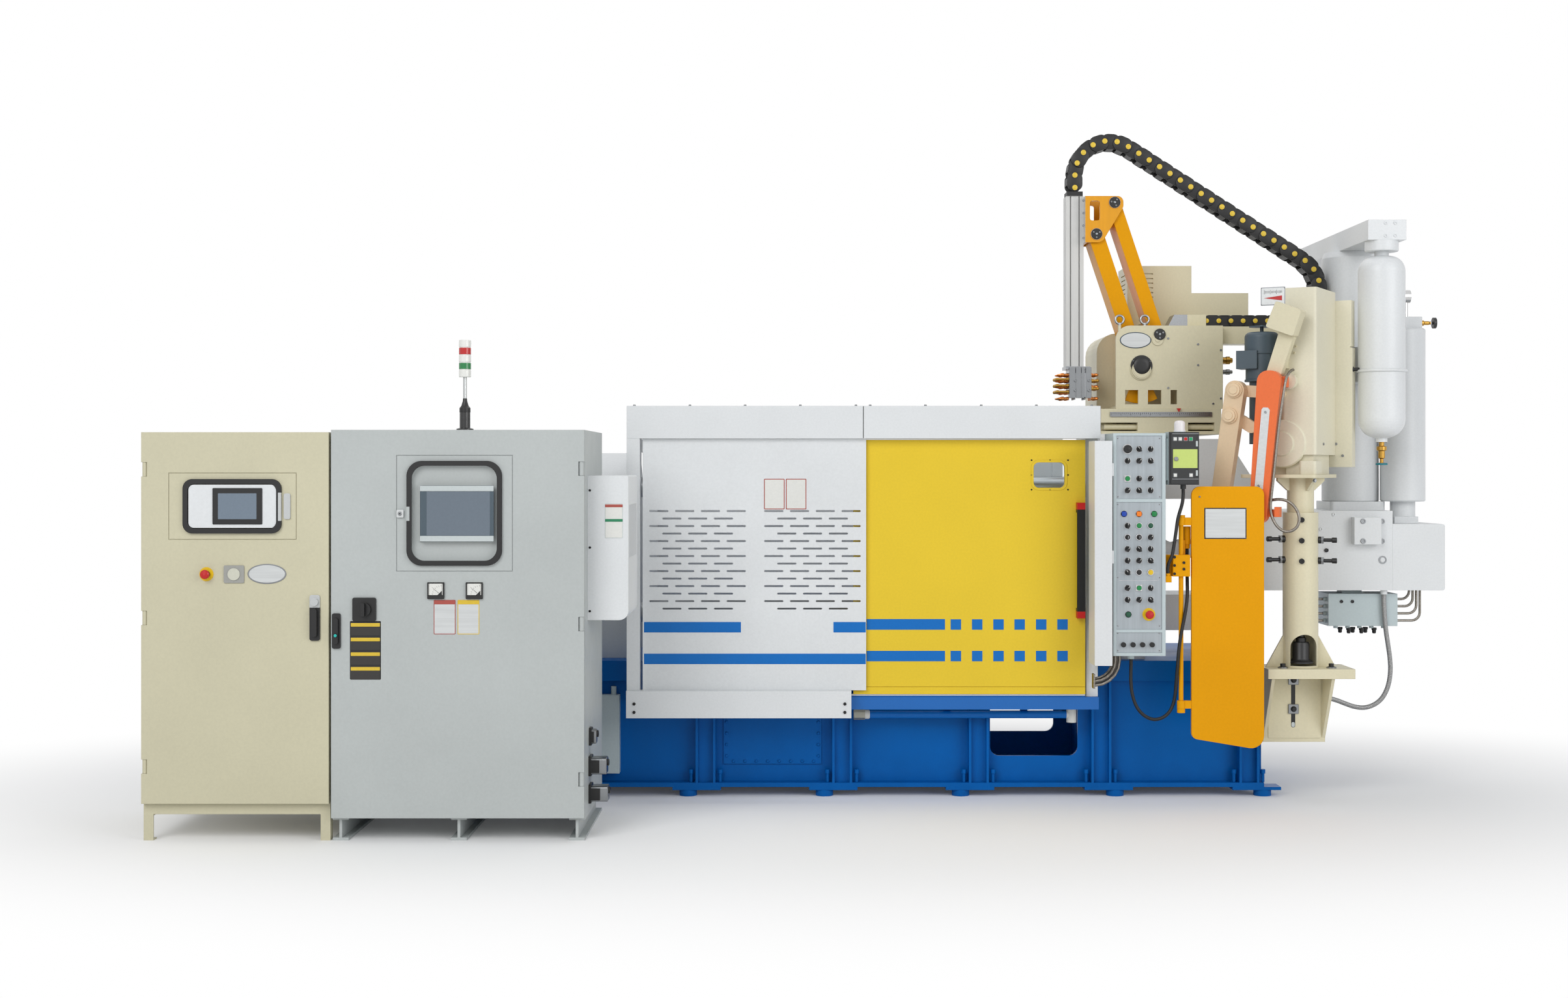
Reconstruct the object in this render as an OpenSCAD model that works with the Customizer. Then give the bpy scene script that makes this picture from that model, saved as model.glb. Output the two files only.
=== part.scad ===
// Cold chamber die casting machine with its spray robot, ladler and two control cabinets.
// Millimetres. X runs right along the machine, Y runs away from the operator, Z is up.
// Places are measured from the machine datum, and the whole layout is then moved so that
// the origin lies under the middle of its box.

/* [Layout] */
// Distance of the layout's middle to the right of the machine datum
layout_x = 229; // [215:1:245]
// Distance of the layout's middle in front of the machine centreline
layout_y = 420; // [405:1:435]

/* [Machine base] */
// Length of the base left of the datum
base_left = 1920; // [1700:10:2200]
// Length of the base right of the datum
base_right = 2281; // [2240:1:2330]
// Half width over the base's side plates
base_half_w = 440; // [410:1:470]
// Height of the base's top face
base_h = 656; // [640:1:690]
// Height of the top beams of the base
base_beam_h = 98; // [70:1:130]
// Width of the top beams of the base
base_beam_w = 100; // [70:1:140]
// Thickness of the side plates
base_web = 16; // [8:1:30]
// Depth of the posts and of the lower flange in front of the side plate
rib_out = 60; // [40:1:70]
// Thickness of a post's flanges
rib_t = 12; // [6:1:20]
// Thickness of a post's web
post_web_t = 10; // [6:1:16]
// Width over a post
rib_pair_w = 97; // [70:1:130]
// Pitch of the posts left of the loading side
rib_pitch = 664; // [600:1:680]
// Place of the second post
rib_mid = 232; // [200:1:260]
// Thickness of the lower flange
flange_t = 21; // [12:1:30]
// Width of the chute opening in the base
chute_w = 428; // [300:1:440]
// Height of the chute opening
chute_h = 286; // [200:1:300]
// Corner radius of the chute opening
chute_r = 45; // [20:1:80]
// Height of the chute opening's lower edge
chute_z = 189; // [150:1:220]
// Width of the cover plate on the base's front
hatch_w = 478; // [400:1:500]
// Height of the cover plate's lower edge
hatch_z = 150; // [130:1:200]
// Thickness of the cover plate
hatch_t = 8; // [4:1:12]

/* [Levelling feet] */
// Diameter of a foot
foot_d = 86; // [60:1:100]
// Height of the foot plates' lower face
foot_z = 31; // [28:1:40]
// Thickness of a foot plate
foot_plate_t = 15; // [10:1:25]
// Length of a foot plate
foot_plate_l = 235; // [200:1:260]
// Diameter of a jack screw
jack_d = 16; // [10:1:24]
// Height of a jack screw over its plate
jack_h = 62; // [40:1:90]

/* [Closing side] */
// Radius of the closing side cover
hood_r = 330; // [280:1:350]
// Height of the cover's axis
hood_z = 1342; // [1250:1:1380]
// Radius of the cover's end cap
hood_cap_r = 210; // [150:1:250]

/* [Guard] */
// Distance from the centreline to the front face of the guard beams
guard_front = 690; // [670:1:720]
// Left end of the guard, left of the datum
guard_left = 798; // [760:1:840]
// Right end of the guard
guard_right = 1456; // [1440:1:1470]
// Height of the top beam's lower face
top_beam_z = 1736; // [1700:1:1780]
// Height of the top beam
top_beam_h = 155; // [120:1:190]
// Depth of the guard beams
beam_depth = 110; // [100:1:150]
// Width of the left post of the guard
post_w = 62; // [40:1:75]
// Right edge of the white slotted panel
panel_right = 342; // [320:1:380]
// Lower edge of the white slotted panel
panel_z = 535; // [520:1:550]
// Thickness of the guard panels
panel_t = 14; // [6:1:20]
// Width of a slot in the white panel
slot_w = 91; // [60:1:96]
// Height of a slot
slot_h = 8.8; // [5:0.1:14]
// Pitch of the slots across
slot_pitch = 123; // [115:1:126]
// Pitch of the slot rows
slot_row = 35.8; // [30:0.1:40]
// Number of slot rows
slot_rows = 14; // [4:1:14]
// Depth of the top row of slots under the top beam
slot_top = 346; // [300:1:400]

/* [Sliding door] */
// Thickness of the sliding door
door_t = 28; // [15:1:35]
// Overlap of the door behind the white panel
door_lap = 60; // [30:1:90]
// Lower edge of the door
door_z = 514; // [505:1:530]
// Gap between the door and what it passes
door_gap = 6; // [5:0.5:10]
// Width of the door window
door_win_w = 149; // [100:1:180]
// Height of the door window
door_win_h = 121; // [80:1:160]
// Distance of the window from the door's right edge
door_win_in = 98; // [60:1:140]
// Depth of the window under the door's top edge
door_win_down = 108; // [70:1:200]
// Length of the door handle
handle_l = 550; // [300:1:600]
// Width of the door handle
handle_w = 38; // [25:1:45]
// Reach of the door handle
handle_out = 48; // [35:1:60]

/* [Cabinets] */
// Front face of both cabinet doors, in front of the centreline
cab_front = 1614; // [1590:1:1640]
// Depth of the cabinets with their doors
cab_depth = 747; // [700:1:790]
// Thickness of the cabinet walls
cab_wall = 12; // [6:1:24]
// Thickness of a cabinet door
cab_door_t = 25; // [22:1:32]
// Gap between a cabinet door and its frame
cab_door_gap = 6; // [5.5:0.5:9]
// Width of the cream cabinet
cream_w = 800; // [720:1:820]
// Height of the cream cabinet's body
cream_h = 1586; // [1500:1:1600]
// Height of the cream cabinet's plinth
cream_plinth_h = 162; // [120:1:200]
// Right edge of the cream cabinet, left of the datum
cream_right = 1987; // [1985:1:2010]
// Width of the grey cabinet
grey_w = 1080; // [1000:1:1083]
// Height of the grey cabinet's body
grey_h = 1658; // [1600:1:1700]
// Right edge of the grey cabinet, left of the datum
grey_right = 897; // [890:1:900]
// Height of the beams under the grey cabinet
skid_h = 100; // [80:1:140]
// Width of the beams under the grey cabinet
skid_w = 68; // [50:1:90]
// Height of the stop button over the floor
stop_z = 1142; // [1050:1:1200]
// Diameter of a stop button's head
stop_d = 40; // [30:1:60]
// Side of a panel meter
meter_w = 72; // [48:1:96]

/* [Cooling unit and lamps] */
// Width of the cooling unit
cooler_w = 177; // [140:1:200]
// Depth of the cooling unit
cooler_d = 460; // [400:1:520]
// Height of the cooling unit
cooler_h = 627; // [500:1:700]
// Diameter of the signal lamps
lamp_d = 53; // [40:1:70]
// Height of the lamp stack
lamp_h = 162; // [120:1:200]

/* [Platens] */
// Diameter of the tie bars
tie_d = 100; // [70:1:120]
// Half distance between the tie bars across the machine
tie_y = 290; // [270:1:310]
// Height of the lower tie bars
tie_low_z = 880; // [860:1:900]
// Height of the upper tie bars
tie_high_z = 1500; // [1440:1:1520]
// Left face of the fixed platen
fixed_x = 1500; // [1490:1:1520]
// Thickness of the fixed platen
fixed_t = 220; // [150:1:240]
// Half width of the fixed platen
platen_half_w = 400; // [380:1:420]
// Height of the fixed platen's top
fixed_top = 1765; // [1750:1:1800]

/* [Control box] */
// Width of the control box
ctl_w = 245; // [220:1:260]
// Depth of the control box
ctl_d = 240; // [200:1:260]
// Height of the control box
ctl_h = 1041; // [1000:1:1080]
// Height of the control box's lower face
ctl_z0 = 717; // [680:1:740]
// Gap between the guard and the control box
ctl_gap = 33; // [27:1:45]
// Distance from the centreline to the control box's front
ctl_front = 850; // [830:1:880]
// Diameter of a button's bezel
bezel_d = 30; // [22:1:34]
// Pitch of the buttons
button_pitch = 54; // [44:1:56]
// Width of the pilot box
pilot_w = 142; // [120:1:160]
// Height of the pilot box
pilot_h = 247; // [200:1:260]
// Depth of the pilot box
pilot_d = 90; // [70:1:100]

/* [Loading gate] */
// Distance of the gate's rod from the control box
rod_out = 82; // [76:1:90]
// Diameter of the rod
rod_d = 22; // [16:1:26]
// Distance from the rod's axis to the gate's edge
gate_in = 48; // [46:1:60]
// Width of the gate
gate_w = 340; // [300:1:360]
// Height of the gate's top
gate_top = 1509; // [1450:1:1511]
// Height of the gate's inner lower corner
gate_low = 326; // [300:1:380]
// Fall of the gate's lower edge towards its outer corner
gate_fall = 57; // [30:1:80]
// Thickness over the gate's folded rim
gate_t = 20; // [14:1:20]
// Thickness of the gate's sheet
gate_sheet = 4; // [2:0.5:6]

/* [Injection unit] */
// Length of the C shaped casting
cframe_l = 620; // [580:1:660]
// Half width of the C shaped casting
cframe_half = 160; // [120:1:200]
// Diameter of the shot sleeve
sleeve_bore_d = 96; // [70:1:110]
// Length of the injection block
inj_l = 644; // [600:1:680]
// Half width of the injection block
inj_half = 250; // [230:1:270]
// Height of the injection block's lower face
inj_low = 985; // [970:1:1010]
// Height of the injection block
inj_h = 397; // [360:1:420]
// Length of the rear cover
cover_l = 261; // [220:1:300]
// Height of the rear cover
cover_h = 331; // [300:1:350]
// Diameter of the rear accumulator
acc_d = 284; // [240:1:300]
// Height of the manifold beam's lower face
manifold_z = 2702; // [2650:1:2760]
// Diameter of the front gas bottle
bottle_d = 223; // [180:1:230]
// Diameter of the side accumulator
side_d = 222; // [180:1:230]
// Height of the side accumulator's cylinder
side_h = 878; // [800:1:920]

/* [Ladler] */
// Distance of the pedestal from the base's end
ped_out = 144; // [130:1:160]
// Distance from the centreline to the pedestal
ped_front = 620; // [600:1:640]
// Diameter of the pedestal's sleeve
sleeve_d = 166; // [150:1:190]
// Diameter of the pedestal's pipe
pipe_d = 126; // [100:1:140]
// Height of the sleeve
sleeve_h = 740; // [700:1:780]
// Height of the pipe over the sleeve
pipe_h = 165; // [140:1:190]
// Height of the ladler's housing
ladler_h = 888; // [860:1:900]
// Width of the ladler's housing
ladler_w = 165; // [140:1:180]
// Diameter of the ladler's motor
motor_d = 163; // [120:1:170]
// Height of the ladler's motor
motor_h = 240; // [200:1:270]

/* [Spray robot] */
// Height of the robot's saddle
saddle_h = 130; // [122:1:150]
// Height of the robot's housing
spray_h = 421; // [410:1:440]
// Thickness of the front cheek
cheek_t = 16; // [8:1:20]
// Half width of the arms
arm_half = 80; // [60:1:90]
// Width of the main arm
arm_w = 78; // [60:1:90]
// Width of the link arm
link_w = 66; // [50:1:76]
// Diameter of the arms' pivots
pivot_d = 50; // [30:1:56]
// Reach of the arms to the left at rest
arm_reach = 223; // [200:1:240]
// Rise of the arms at rest
arm_rise = 671; // [640:1:700]
// Side of the spray column
column_w = 90; // [70:1:100]
// Length of the spray column
column_h = 868; // [820:1:900]
// Height of the spray head
head_h = 169; // [140:1:190]

/* [Energy chains] */
// Pitch of the long chain's links
chain_pitch = 63.5; // [60:0.5:70]
// Width of the chains
chain_w = 100; // [80:1:110]
// Height of the long chain
chain_h = 80; // [60:1:90]
// Bending radius of the long chain
chain_r = 175; // [160:1:190]
// Fall of the long chain's sloping run, in degrees
chain_slope = 32.8; // [31:0.1:34]
// Height of the short chain
short_chain_h = 60; // [50:1:70]
// Number of links in the short chain
short_links = 5; // [3:1:5]

/* [Coolant line] */
// Diameter of the coolant pipe
coolant_d = 38; // [26:1:50]
// Height of the coolant pipe
coolant_z = 406; // [380:1:410]
// Distance of the pipe in front of the centreline
coolant_front = 552; // [545:1:560]

/* [Hidden] */
$fn = 48;
// Running clearance round pins and rods
fit = 0.3;
// Overlap that joins two blocks of one solid
eps = 0.01;
// Extra length by which a cut passes a face
past = 1;

module place() {
    translate([-layout_x, layout_y, 0]) children();
}

// Box between two values on each axis
module block(x, y, z) {
    translate([x[0], y[0], z[0]]) cube([x[1] - x[0], y[1] - y[0], z[1] - z[0]]);
}

// An outline in X and Z, extruded from a front face towards the operator
module on_front(y) {
    translate([0, y, 0]) rotate([90, 0, 0]) children();
}

// An outline in X and Z, extruded between two values of Y
module across(y) {
    on_front(y[1]) linear_extrude(y[1] - y[0]) children();
}

// An outline in Y and Z, extruded between two values of X
module along(x) {
    translate([x[0], 0, 0]) rotate([90, 0, 90]) linear_extrude(x[1] - x[0]) children();
}

// Rectangle with round corners about its middle
module soft_rect(w, h, r) {
    square([w - 2 * r, h], center = true);
    square([w, h - 2 * r], center = true);
    for (x = [-1, 1], y = [-1, 1]) translate([x * (w / 2 - r), y * (h / 2 - r)]) circle(r);
}

// Outline whose corners are rounded, each by its own radius
corner_steps = 6;
function unit(v) = v / norm(v);
function short_turn(a) = a > 180 ? a - 360 : a < -180 ? a + 360 : a;
function corner_arc(c, s, e) = let (
        a = atan2(s[1] - c[1], s[0] - c[0]),
        d = short_turn(atan2(e[1] - c[1], e[0] - c[0]) - a))
    [for (i = [0 : corner_steps]) let (t = a + d * i / corner_steps) c + norm(s - c) * [cos(t), sin(t)]];
function round_corner(before, p, after, r) = r == 0 ? [p] : let (
        u = unit(before - p),
        v = unit(after - p),
        half = acos(u * v) / 2)
    corner_arc(p + unit(u + v) * r / sin(half), p + u * r / tan(half), p + v * r / tan(half));
function rounded(points, radii) = [for (i = [0 : len(points) - 1])
    each round_corner(points[(i + len(points) - 1) % len(points)], points[i],
        points[(i + 1) % len(points)], radii[i])];

// Tube swept along a list of points, for cords
cord_sides = 8;
function cord_direction(p, i) = unit(p[min(i + 1, len(p) - 1)] - p[max(i - 1, 0)]);
function cord_ring(c, t, r) = let (
        side = unit(cross(t, [0.37, 1, 0.11])),
        up = cross(side, t))
    [for (k = [0 : cord_sides - 1])
        c + r * (cos(360 * k / cord_sides) * side + sin(360 * k / cord_sides) * up)];
function cord_points(p, r) = [for (i = [0 : len(p) - 1]) each cord_ring(p[i], cord_direction(p, i), r)];
function cord_faces(rings) = concat(
    [[for (k = [cord_sides - 1 : -1 : 0]) k]],
    [for (i = [0 : rings - 2], k = [0 : cord_sides - 1]) let (a = i * cord_sides, n = (k + 1) % cord_sides)
        [a + k, a + n, a + cord_sides + n, a + cord_sides + k]],
    [[for (k = [0 : cord_sides - 1]) (rings - 1) * cord_sides + k]]);
module cord(route, d) {
    polyhedron(cord_points(route, d / 2), cord_faces(len(route)), convexity = 4);
}

cab_y0 = -cab_front;
cab_y1 = -cab_front + cab_depth;
cab_body_y = cab_y0 + cab_door_t + cab_door_gap;
cream_x1 = -cream_right;
cream_x0 = cream_x1 - cream_w;
cream_z0 = cream_plinth_h;
cream_z1 = cream_z0 + cream_h;
grey_x1 = -grey_right;
grey_x0 = grey_x1 - grey_w;
grey_z0 = skid_h;
grey_z1 = grey_z0 + grey_h;

// Plinth of the cream cabinet: a top frame on four folded legs
leg_w = 42;
leg_t = 6;
plinth_rail_h = 50;
module cream_plinth() {
    z_rail = cream_plinth_h - plinth_rail_h;
    color("ivory") place() {
        difference() {
            block([cream_x0, cream_x1], [cab_body_y, cab_y1], [z_rail, cream_plinth_h]);
            block([cream_x0 + leg_w, cream_x1 - leg_w], [cab_body_y + leg_w, cab_y1 - leg_w],
                [z_rail - past, cream_plinth_h + past]);
        }
        for (side = [0, 1], back = [0, 1]) {
            x = side == 0 ? cream_x0 : cream_x1 - leg_w;
            y = back == 0 ? cab_body_y : cab_y1 - leg_w;
            difference() {
                block([x, x + leg_w], [y, y + leg_w], [0, z_rail]);
                block([side == 0 ? x + leg_t : x - past, side == 0 ? x + leg_w + past : x + leg_w - leg_t],
                    [back == 0 ? y + leg_t : y - past, back == 0 ? y + leg_w + past : y + leg_w - leg_t],
                    [leg_t, z_rail - leg_t]);
            }
        }
    }
}

// Hinge knuckles and pins on the cabinet frame
hinge_inset = cab_door_t / 2;
knuckle_r = 11;
knuckle_h = 60;
knuckle_gap = 0.3;
knuckle_clear = 1;
notch_in = 20;
pin_r = 4;
pin_reach = 15;
hinge_share = [0.1, 0.5, 0.9];
function hinge_heights(z0, z1) = [for (share = hinge_share) z0 + share * (z1 - z0)];

module hinge_knuckles(x, heights) {
    for (z = heights) {
        translate([x, cab_y0 + hinge_inset, z - knuckle_h / 2]) cylinder(r = knuckle_r, h = knuckle_h);
        block([x - knuckle_r, x + knuckle_r], [cab_y0 + hinge_inset, cab_body_y],
            [z - knuckle_h / 2, z + knuckle_h / 2]);
        translate([x, cab_y0 + hinge_inset, z - knuckle_h / 2 - pin_reach])
            cylinder(r = pin_r, h = knuckle_h + 2 * pin_reach);
    }
}

module hinge_notches(x, heights) {
    clear = knuckle_r + knuckle_clear;
    for (z = heights) {
        block([x - clear - notch_in, x + clear], [cab_y0 - past, cab_y0 + cab_door_t + past],
            [z - knuckle_h / 2 - knuckle_gap, z + knuckle_h / 2 + knuckle_gap]);
        translate([x, cab_y0 + hinge_inset, z - knuckle_h / 2 - pin_reach - past])
            cylinder(r = pin_r + fit, h = knuckle_h + 2 * (pin_reach + past));
    }
}

module cabinet_shell(x0, x1, z0, z1) {
    difference() {
        block([x0, x1], [cab_body_y, cab_y1], [z0, z1]);
        block([x0 + cab_wall, x1 - cab_wall], [cab_body_y - past, cab_y1 - cab_wall],
            [z0 + cab_wall, z1 - cab_wall]);
    }
}

// Screens: a hinged frame marked by a groove, a rubber gasket and a panel in a recess behind it
groove_w = 3;
groove_d = 3;
recess_d = 14;
cream_screen = [cream_x0 + 390, cream_z0 + 1270];
cream_gasket = [420, 232];
cream_gasket_r = 41;
cream_groove = [547, 286];
cream_panel = [217, 153];
grey_screen = [grey_x0 + 527, grey_z0 + 1302];
grey_gasket = [406, 447];
grey_gasket_r = 65;
grey_groove = [497, 497];
grey_panel = [314, 242];
gasket_rim = 21;
gasket_out = 12;
panel_up = 8;
screen_in = 3;
screen_rim = [29, 33];

module screen_cuts(centre, gasket, gasket_r, frame) {
    on_front(cab_y0 + groove_d) translate(centre) linear_extrude(groove_d + past) difference() {
        square(frame, center = true);
        square(frame - 2 * [groove_w, groove_w], center = true);
    }
    on_front(cab_y0 + recess_d) translate(centre) linear_extrude(recess_d + past)
        soft_rect(gasket[0] - 2 * gasket_rim, gasket[1] - 2 * gasket_rim, gasket_r - gasket_rim / 2);
}

module screen_pieces(centre, gasket, gasket_r, panel) {
    on_front(cab_y0) translate(centre) difference() {
        linear_extrude(gasket_out) soft_rect(gasket[0], gasket[1], gasket_r);
        translate([0, 0, -past]) linear_extrude(gasket_out + 2 * past)
            soft_rect(gasket[0] - 2 * gasket_rim, gasket[1] - 2 * gasket_rim, gasket_r - gasket_rim / 2);
    }
    on_front(cab_y0 + recess_d) translate(centre) difference() {
        linear_extrude(panel_up) soft_rect(panel[0], panel[1], 6);
        translate([0, 0, panel_up - screen_in]) linear_extrude(screen_in + past)
            square(panel - 2 * screen_rim, center = true);
    }
}

// Round piece on a front face, as stepped discs
module discs(centre, y, steps) {
    on_front(y) translate(centre) rotate_extrude() polygon([[0, 0],
        for (i = [0 : len(steps) - 1]) each [[steps[i][0] / 2, i == 0 ? 0 : steps[i - 1][1]],
            [steps[i][0] / 2, steps[i][1]]], [0, steps[len(steps) - 1][1]]]);
}

// Emergency stop: legend ring, collar and mushroom head with a rounded rim
module stop_button(centre, y, head) {
    on_front(y) translate(centre) rotate_extrude() polygon([[0, 0], [head * 0.75, 0], [head * 0.75, 2],
        [head * 0.4, 2], [head * 0.4, 9], [head * 0.28, 9], [head * 0.28, 18], [head * 0.44, 19],
        [head * 0.5, 24], [head * 0.48, 30], [head * 0.36, 34], [0, 36]]);
}

// Pull handle of a cabinet: a base plate and a lever with a round boss
handle_base = [44, 195];
handle_grip = [24, 120];
module cabinet_handle(centre) {
    on_front(cab_y0) translate(centre) {
        linear_extrude(8) soft_rect(handle_base[0], handle_base[1], 10);
        translate([0, -20, 8 - eps]) linear_extrude(16) soft_rect(handle_grip[0], handle_grip[1], 10);
        translate([0, 68, 8 - eps]) cylinder(d = 34, h = 12);
    }
}

cream_hinge_x = cream_x0 + hinge_inset;
grey_hinge_x = grey_x1 - hinge_inset;

module cream_cabinet() {
    color("ivory") place() {
        cabinet_shell(cream_x0, cream_x1, cream_z0, cream_z1);
        hinge_knuckles(cream_hinge_x, hinge_heights(cream_z0, cream_z1));
    }
}

module cream_door() {
    color("ivory") place() difference() {
        block([cream_x0, cream_x1], [cab_y0, cab_y0 + cab_door_t], [cream_z0, cream_z1]);
        hinge_notches(cream_hinge_x, hinge_heights(cream_z0, cream_z1));
        screen_cuts(cream_screen, cream_gasket, cream_gasket_r, cream_groove);
    }
}

stop_x = cream_x0 + 279;
dial_x = cream_x0 + 397;
dial = [87, 75];
latch_x = cream_x0 + 624;
latch = [28, 110];
handle_from_edge = 58;
module cream_fittings() {
    color("dimgray") place() {
        screen_pieces(cream_screen, cream_gasket, cream_gasket_r, cream_panel);
        stop_button([stop_x, stop_z], cab_y0, stop_d);
        on_front(cab_y0) translate([dial_x, stop_z]) {
            linear_extrude(5) soft_rect(dial[0], dial[1], 6);
            cylinder(d = 52, h = 9);
        }
        on_front(cab_y0) translate([latch_x, cream_screen[1]]) linear_extrude(7)
            soft_rect(latch[0], latch[1], 8);
        cabinet_handle([cream_x1 - handle_from_edge, cream_z0 + 794]);
    }
}

module grey_cabinet() {
    color("lightgray") place() {
        cabinet_shell(grey_x0, grey_x1, grey_z0, grey_z1);
        hinge_knuckles(grey_hinge_x, hinge_heights(grey_z0, grey_z1));
    }
}

module grey_door() {
    color("lightgray") place() difference() {
        block([grey_x0, grey_x1], [cab_y0, cab_y0 + cab_door_t], [grey_z0, grey_z1]);
        mirror([1, 0, 0]) hinge_notches(-grey_hinge_x, hinge_heights(grey_z0, grey_z1));
        screen_cuts(grey_screen, grey_gasket, grey_gasket_r, grey_groove);
    }
}

meter_x = [grey_x0 + 448, grey_x0 + 612];
meter_z = grey_z0 + 972;
isolator = [grey_x0 + 143, grey_z0 + 892];
isolator_w = 100;
lock = [grey_x0 + 295, grey_z0 + 1300];
module grey_fittings() {
    color("dimgray") place() {
        screen_pieces(grey_screen, grey_gasket, grey_gasket_r, grey_panel);
        for (x = meter_x) on_front(cab_y0) translate([x, meter_z]) difference() {
            linear_extrude(9) soft_rect(meter_w, meter_w, 4);
            translate([0, meter_w * 0.08, 6]) linear_extrude(3 + past)
                square([meter_w * 0.84, meter_w * 0.68], center = true);
        }
        on_front(cab_y0) translate(isolator) {
            linear_extrude(10) soft_rect(isolator_w, isolator_w, 8);
            cylinder(d = isolator_w * 0.6, h = 22);
            translate([0, 0, 22 - eps]) linear_extrude(20) soft_rect(16, isolator_w * 0.56, 5);
        }
        on_front(cab_y0) translate(lock) linear_extrude(8) soft_rect(30, 32, 6);
        on_front(cab_y0) translate([grey_x0 + 24, grey_z0 + 800]) {
            linear_extrude(10) soft_rect(36, 150, 8);
            translate([0, 0, 10 - eps]) linear_extrude(12) soft_rect(20, 110, 8);
        }
    }
}

// Beams under the grey cabinet, each an I section
skid_web = 12;
skids = 3;
module grey_skids() {
    color("lightgray") place() for (i = [0 : skids - 1]) {
        x = grey_x0 + skid_w / 2 + i * (grey_w - skid_w) / (skids - 1);
        translate([x, 0, 0]) across([cab_body_y, cab_y1]) {
            translate([-skid_w / 2, 0]) square([skid_w, skid_web]);
            translate([-skid_w / 2, skid_h - skid_web]) square([skid_w, skid_web]);
            translate([-skid_web / 2, skid_web - eps]) square([skid_web, skid_h - 2 * skid_web + 2 * eps]);
        }
    }
}

// Cooling unit on the side of the grey cabinet, with an air grille on its outer side
cooler_y = [cab_y0 + 134, cab_y0 + 134 + cooler_d];
cooler_z = [grey_z0 + 835, grey_z0 + 835 + cooler_h];
cooler_r = 40;
fin_pitch = 14;
fin_gap = 8;
fin_d = 10;
grille_z = [cooler_z[0] + 270, cooler_z[0] + 500];
module air_conditioner() {
    fins = floor((cooler_d - 80) / fin_pitch);
    color("whitesmoke") place() difference() {
        across(cooler_y) polygon(rounded([[grey_x1, cooler_z[0]], [grey_x1 + cooler_w, cooler_z[0]],
            [grey_x1 + cooler_w, cooler_z[1]], [grey_x1, cooler_z[1]]], [0, cooler_r, 8, 0]));
        for (i = [0 : fins - 1]) {
            y = cooler_y[0] + 40 + i * fin_pitch;
            block([grey_x1 + cooler_w - fin_d, grey_x1 + cooler_w + past], [y, y + fin_gap], grille_z);
        }
    }
}

// Signal tower on the grey cabinet
tower_x = grey_x0 + 543;
tower_y = cab_y0 + 164;
tower_base = [74, 12];
tower_joint = [46, 100];
tower_pole = [17, 120];
lamp_rings = 5;
module signal_tower() {
    z1 = tower_base[1] + tower_joint[1];
    z2 = z1 + tower_pole[1];
    ring = lamp_h / lamp_rings;
    color("white") place() translate([tower_x, tower_y, grey_z1]) rotate_extrude() polygon([[0, 0],
        [tower_base[0] / 2, 0], [tower_base[0] / 2, tower_base[1] - 4], [tower_joint[0] / 2, tower_base[1]],
        [tower_joint[0] / 2, z1 - 20], [tower_pole[0] / 2 + 4, z1], [tower_pole[0] / 2, z1],
        [tower_pole[0] / 2, z2],
        for (i = [0 : lamp_rings - 1]) each [[lamp_d / 2 - 2, z2 + i * ring], [lamp_d / 2, z2 + i * ring + 3],
            [lamp_d / 2, z2 + (i + 1) * ring - 3], [lamp_d / 2 - 2, z2 + (i + 1) * ring]],
        [0, z2 + lamp_h]]);
}

// Welded base
rib_left = [for (x = rib_mid + rib_pitch; x > 150 - base_left; x = x - rib_pitch) x];
rib_right = [base_right - 790, base_right - 71];
rib_x = concat(rib_left, rib_right);
foot_shift = concat([for (x = rib_left) -86], [for (x = rib_right) 72]);
base_web_y = base_half_w - base_web;
flange_z0 = foot_z + foot_plate_t;
flange_z1 = flange_z0 + flange_t;
base_beam_z = base_h - base_beam_h;
base_beam_out = 30;
chute_x = rib_left[0] + 60;
deck_hole = [[rib_left[0] - 136, rib_right[0] - 71], [-300, 300]];
bulkheads = [rib_left[0] - 196, rib_right[0] - 11];
foot_y = base_half_w + 17;
foot_plate_half = 50;
hatch_x = rib_mid - 100 - hatch_w;

module rounded_slab(w, h, r, t) {
    linear_extrude(t) translate([w / 2, h / 2]) soft_rect(w, h, r);
}

module base_post(x, side) {
    out = base_half_w + rib_out;
    flange_y = side > 0 ? [base_half_w - eps, out] : [-out, -base_half_w + eps];
    web_y = side > 0 ? [out - rib_out / 2 - post_web_t, out - rib_out / 2]
        : [-out + rib_out / 2, -out + rib_out / 2 + post_web_t];
    for (edge = [0, rib_pair_w - rib_t])
        block([x - rib_pair_w / 2 + edge, x - rib_pair_w / 2 + edge + rib_t], flange_y,
            [flange_z1 - eps, base_beam_z + eps]);
    block([x - rib_pair_w / 2 + rib_t - eps, x + rib_pair_w / 2 - rib_t + eps], web_y,
        [flange_z1 - eps, base_beam_z + eps]);
}

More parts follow.
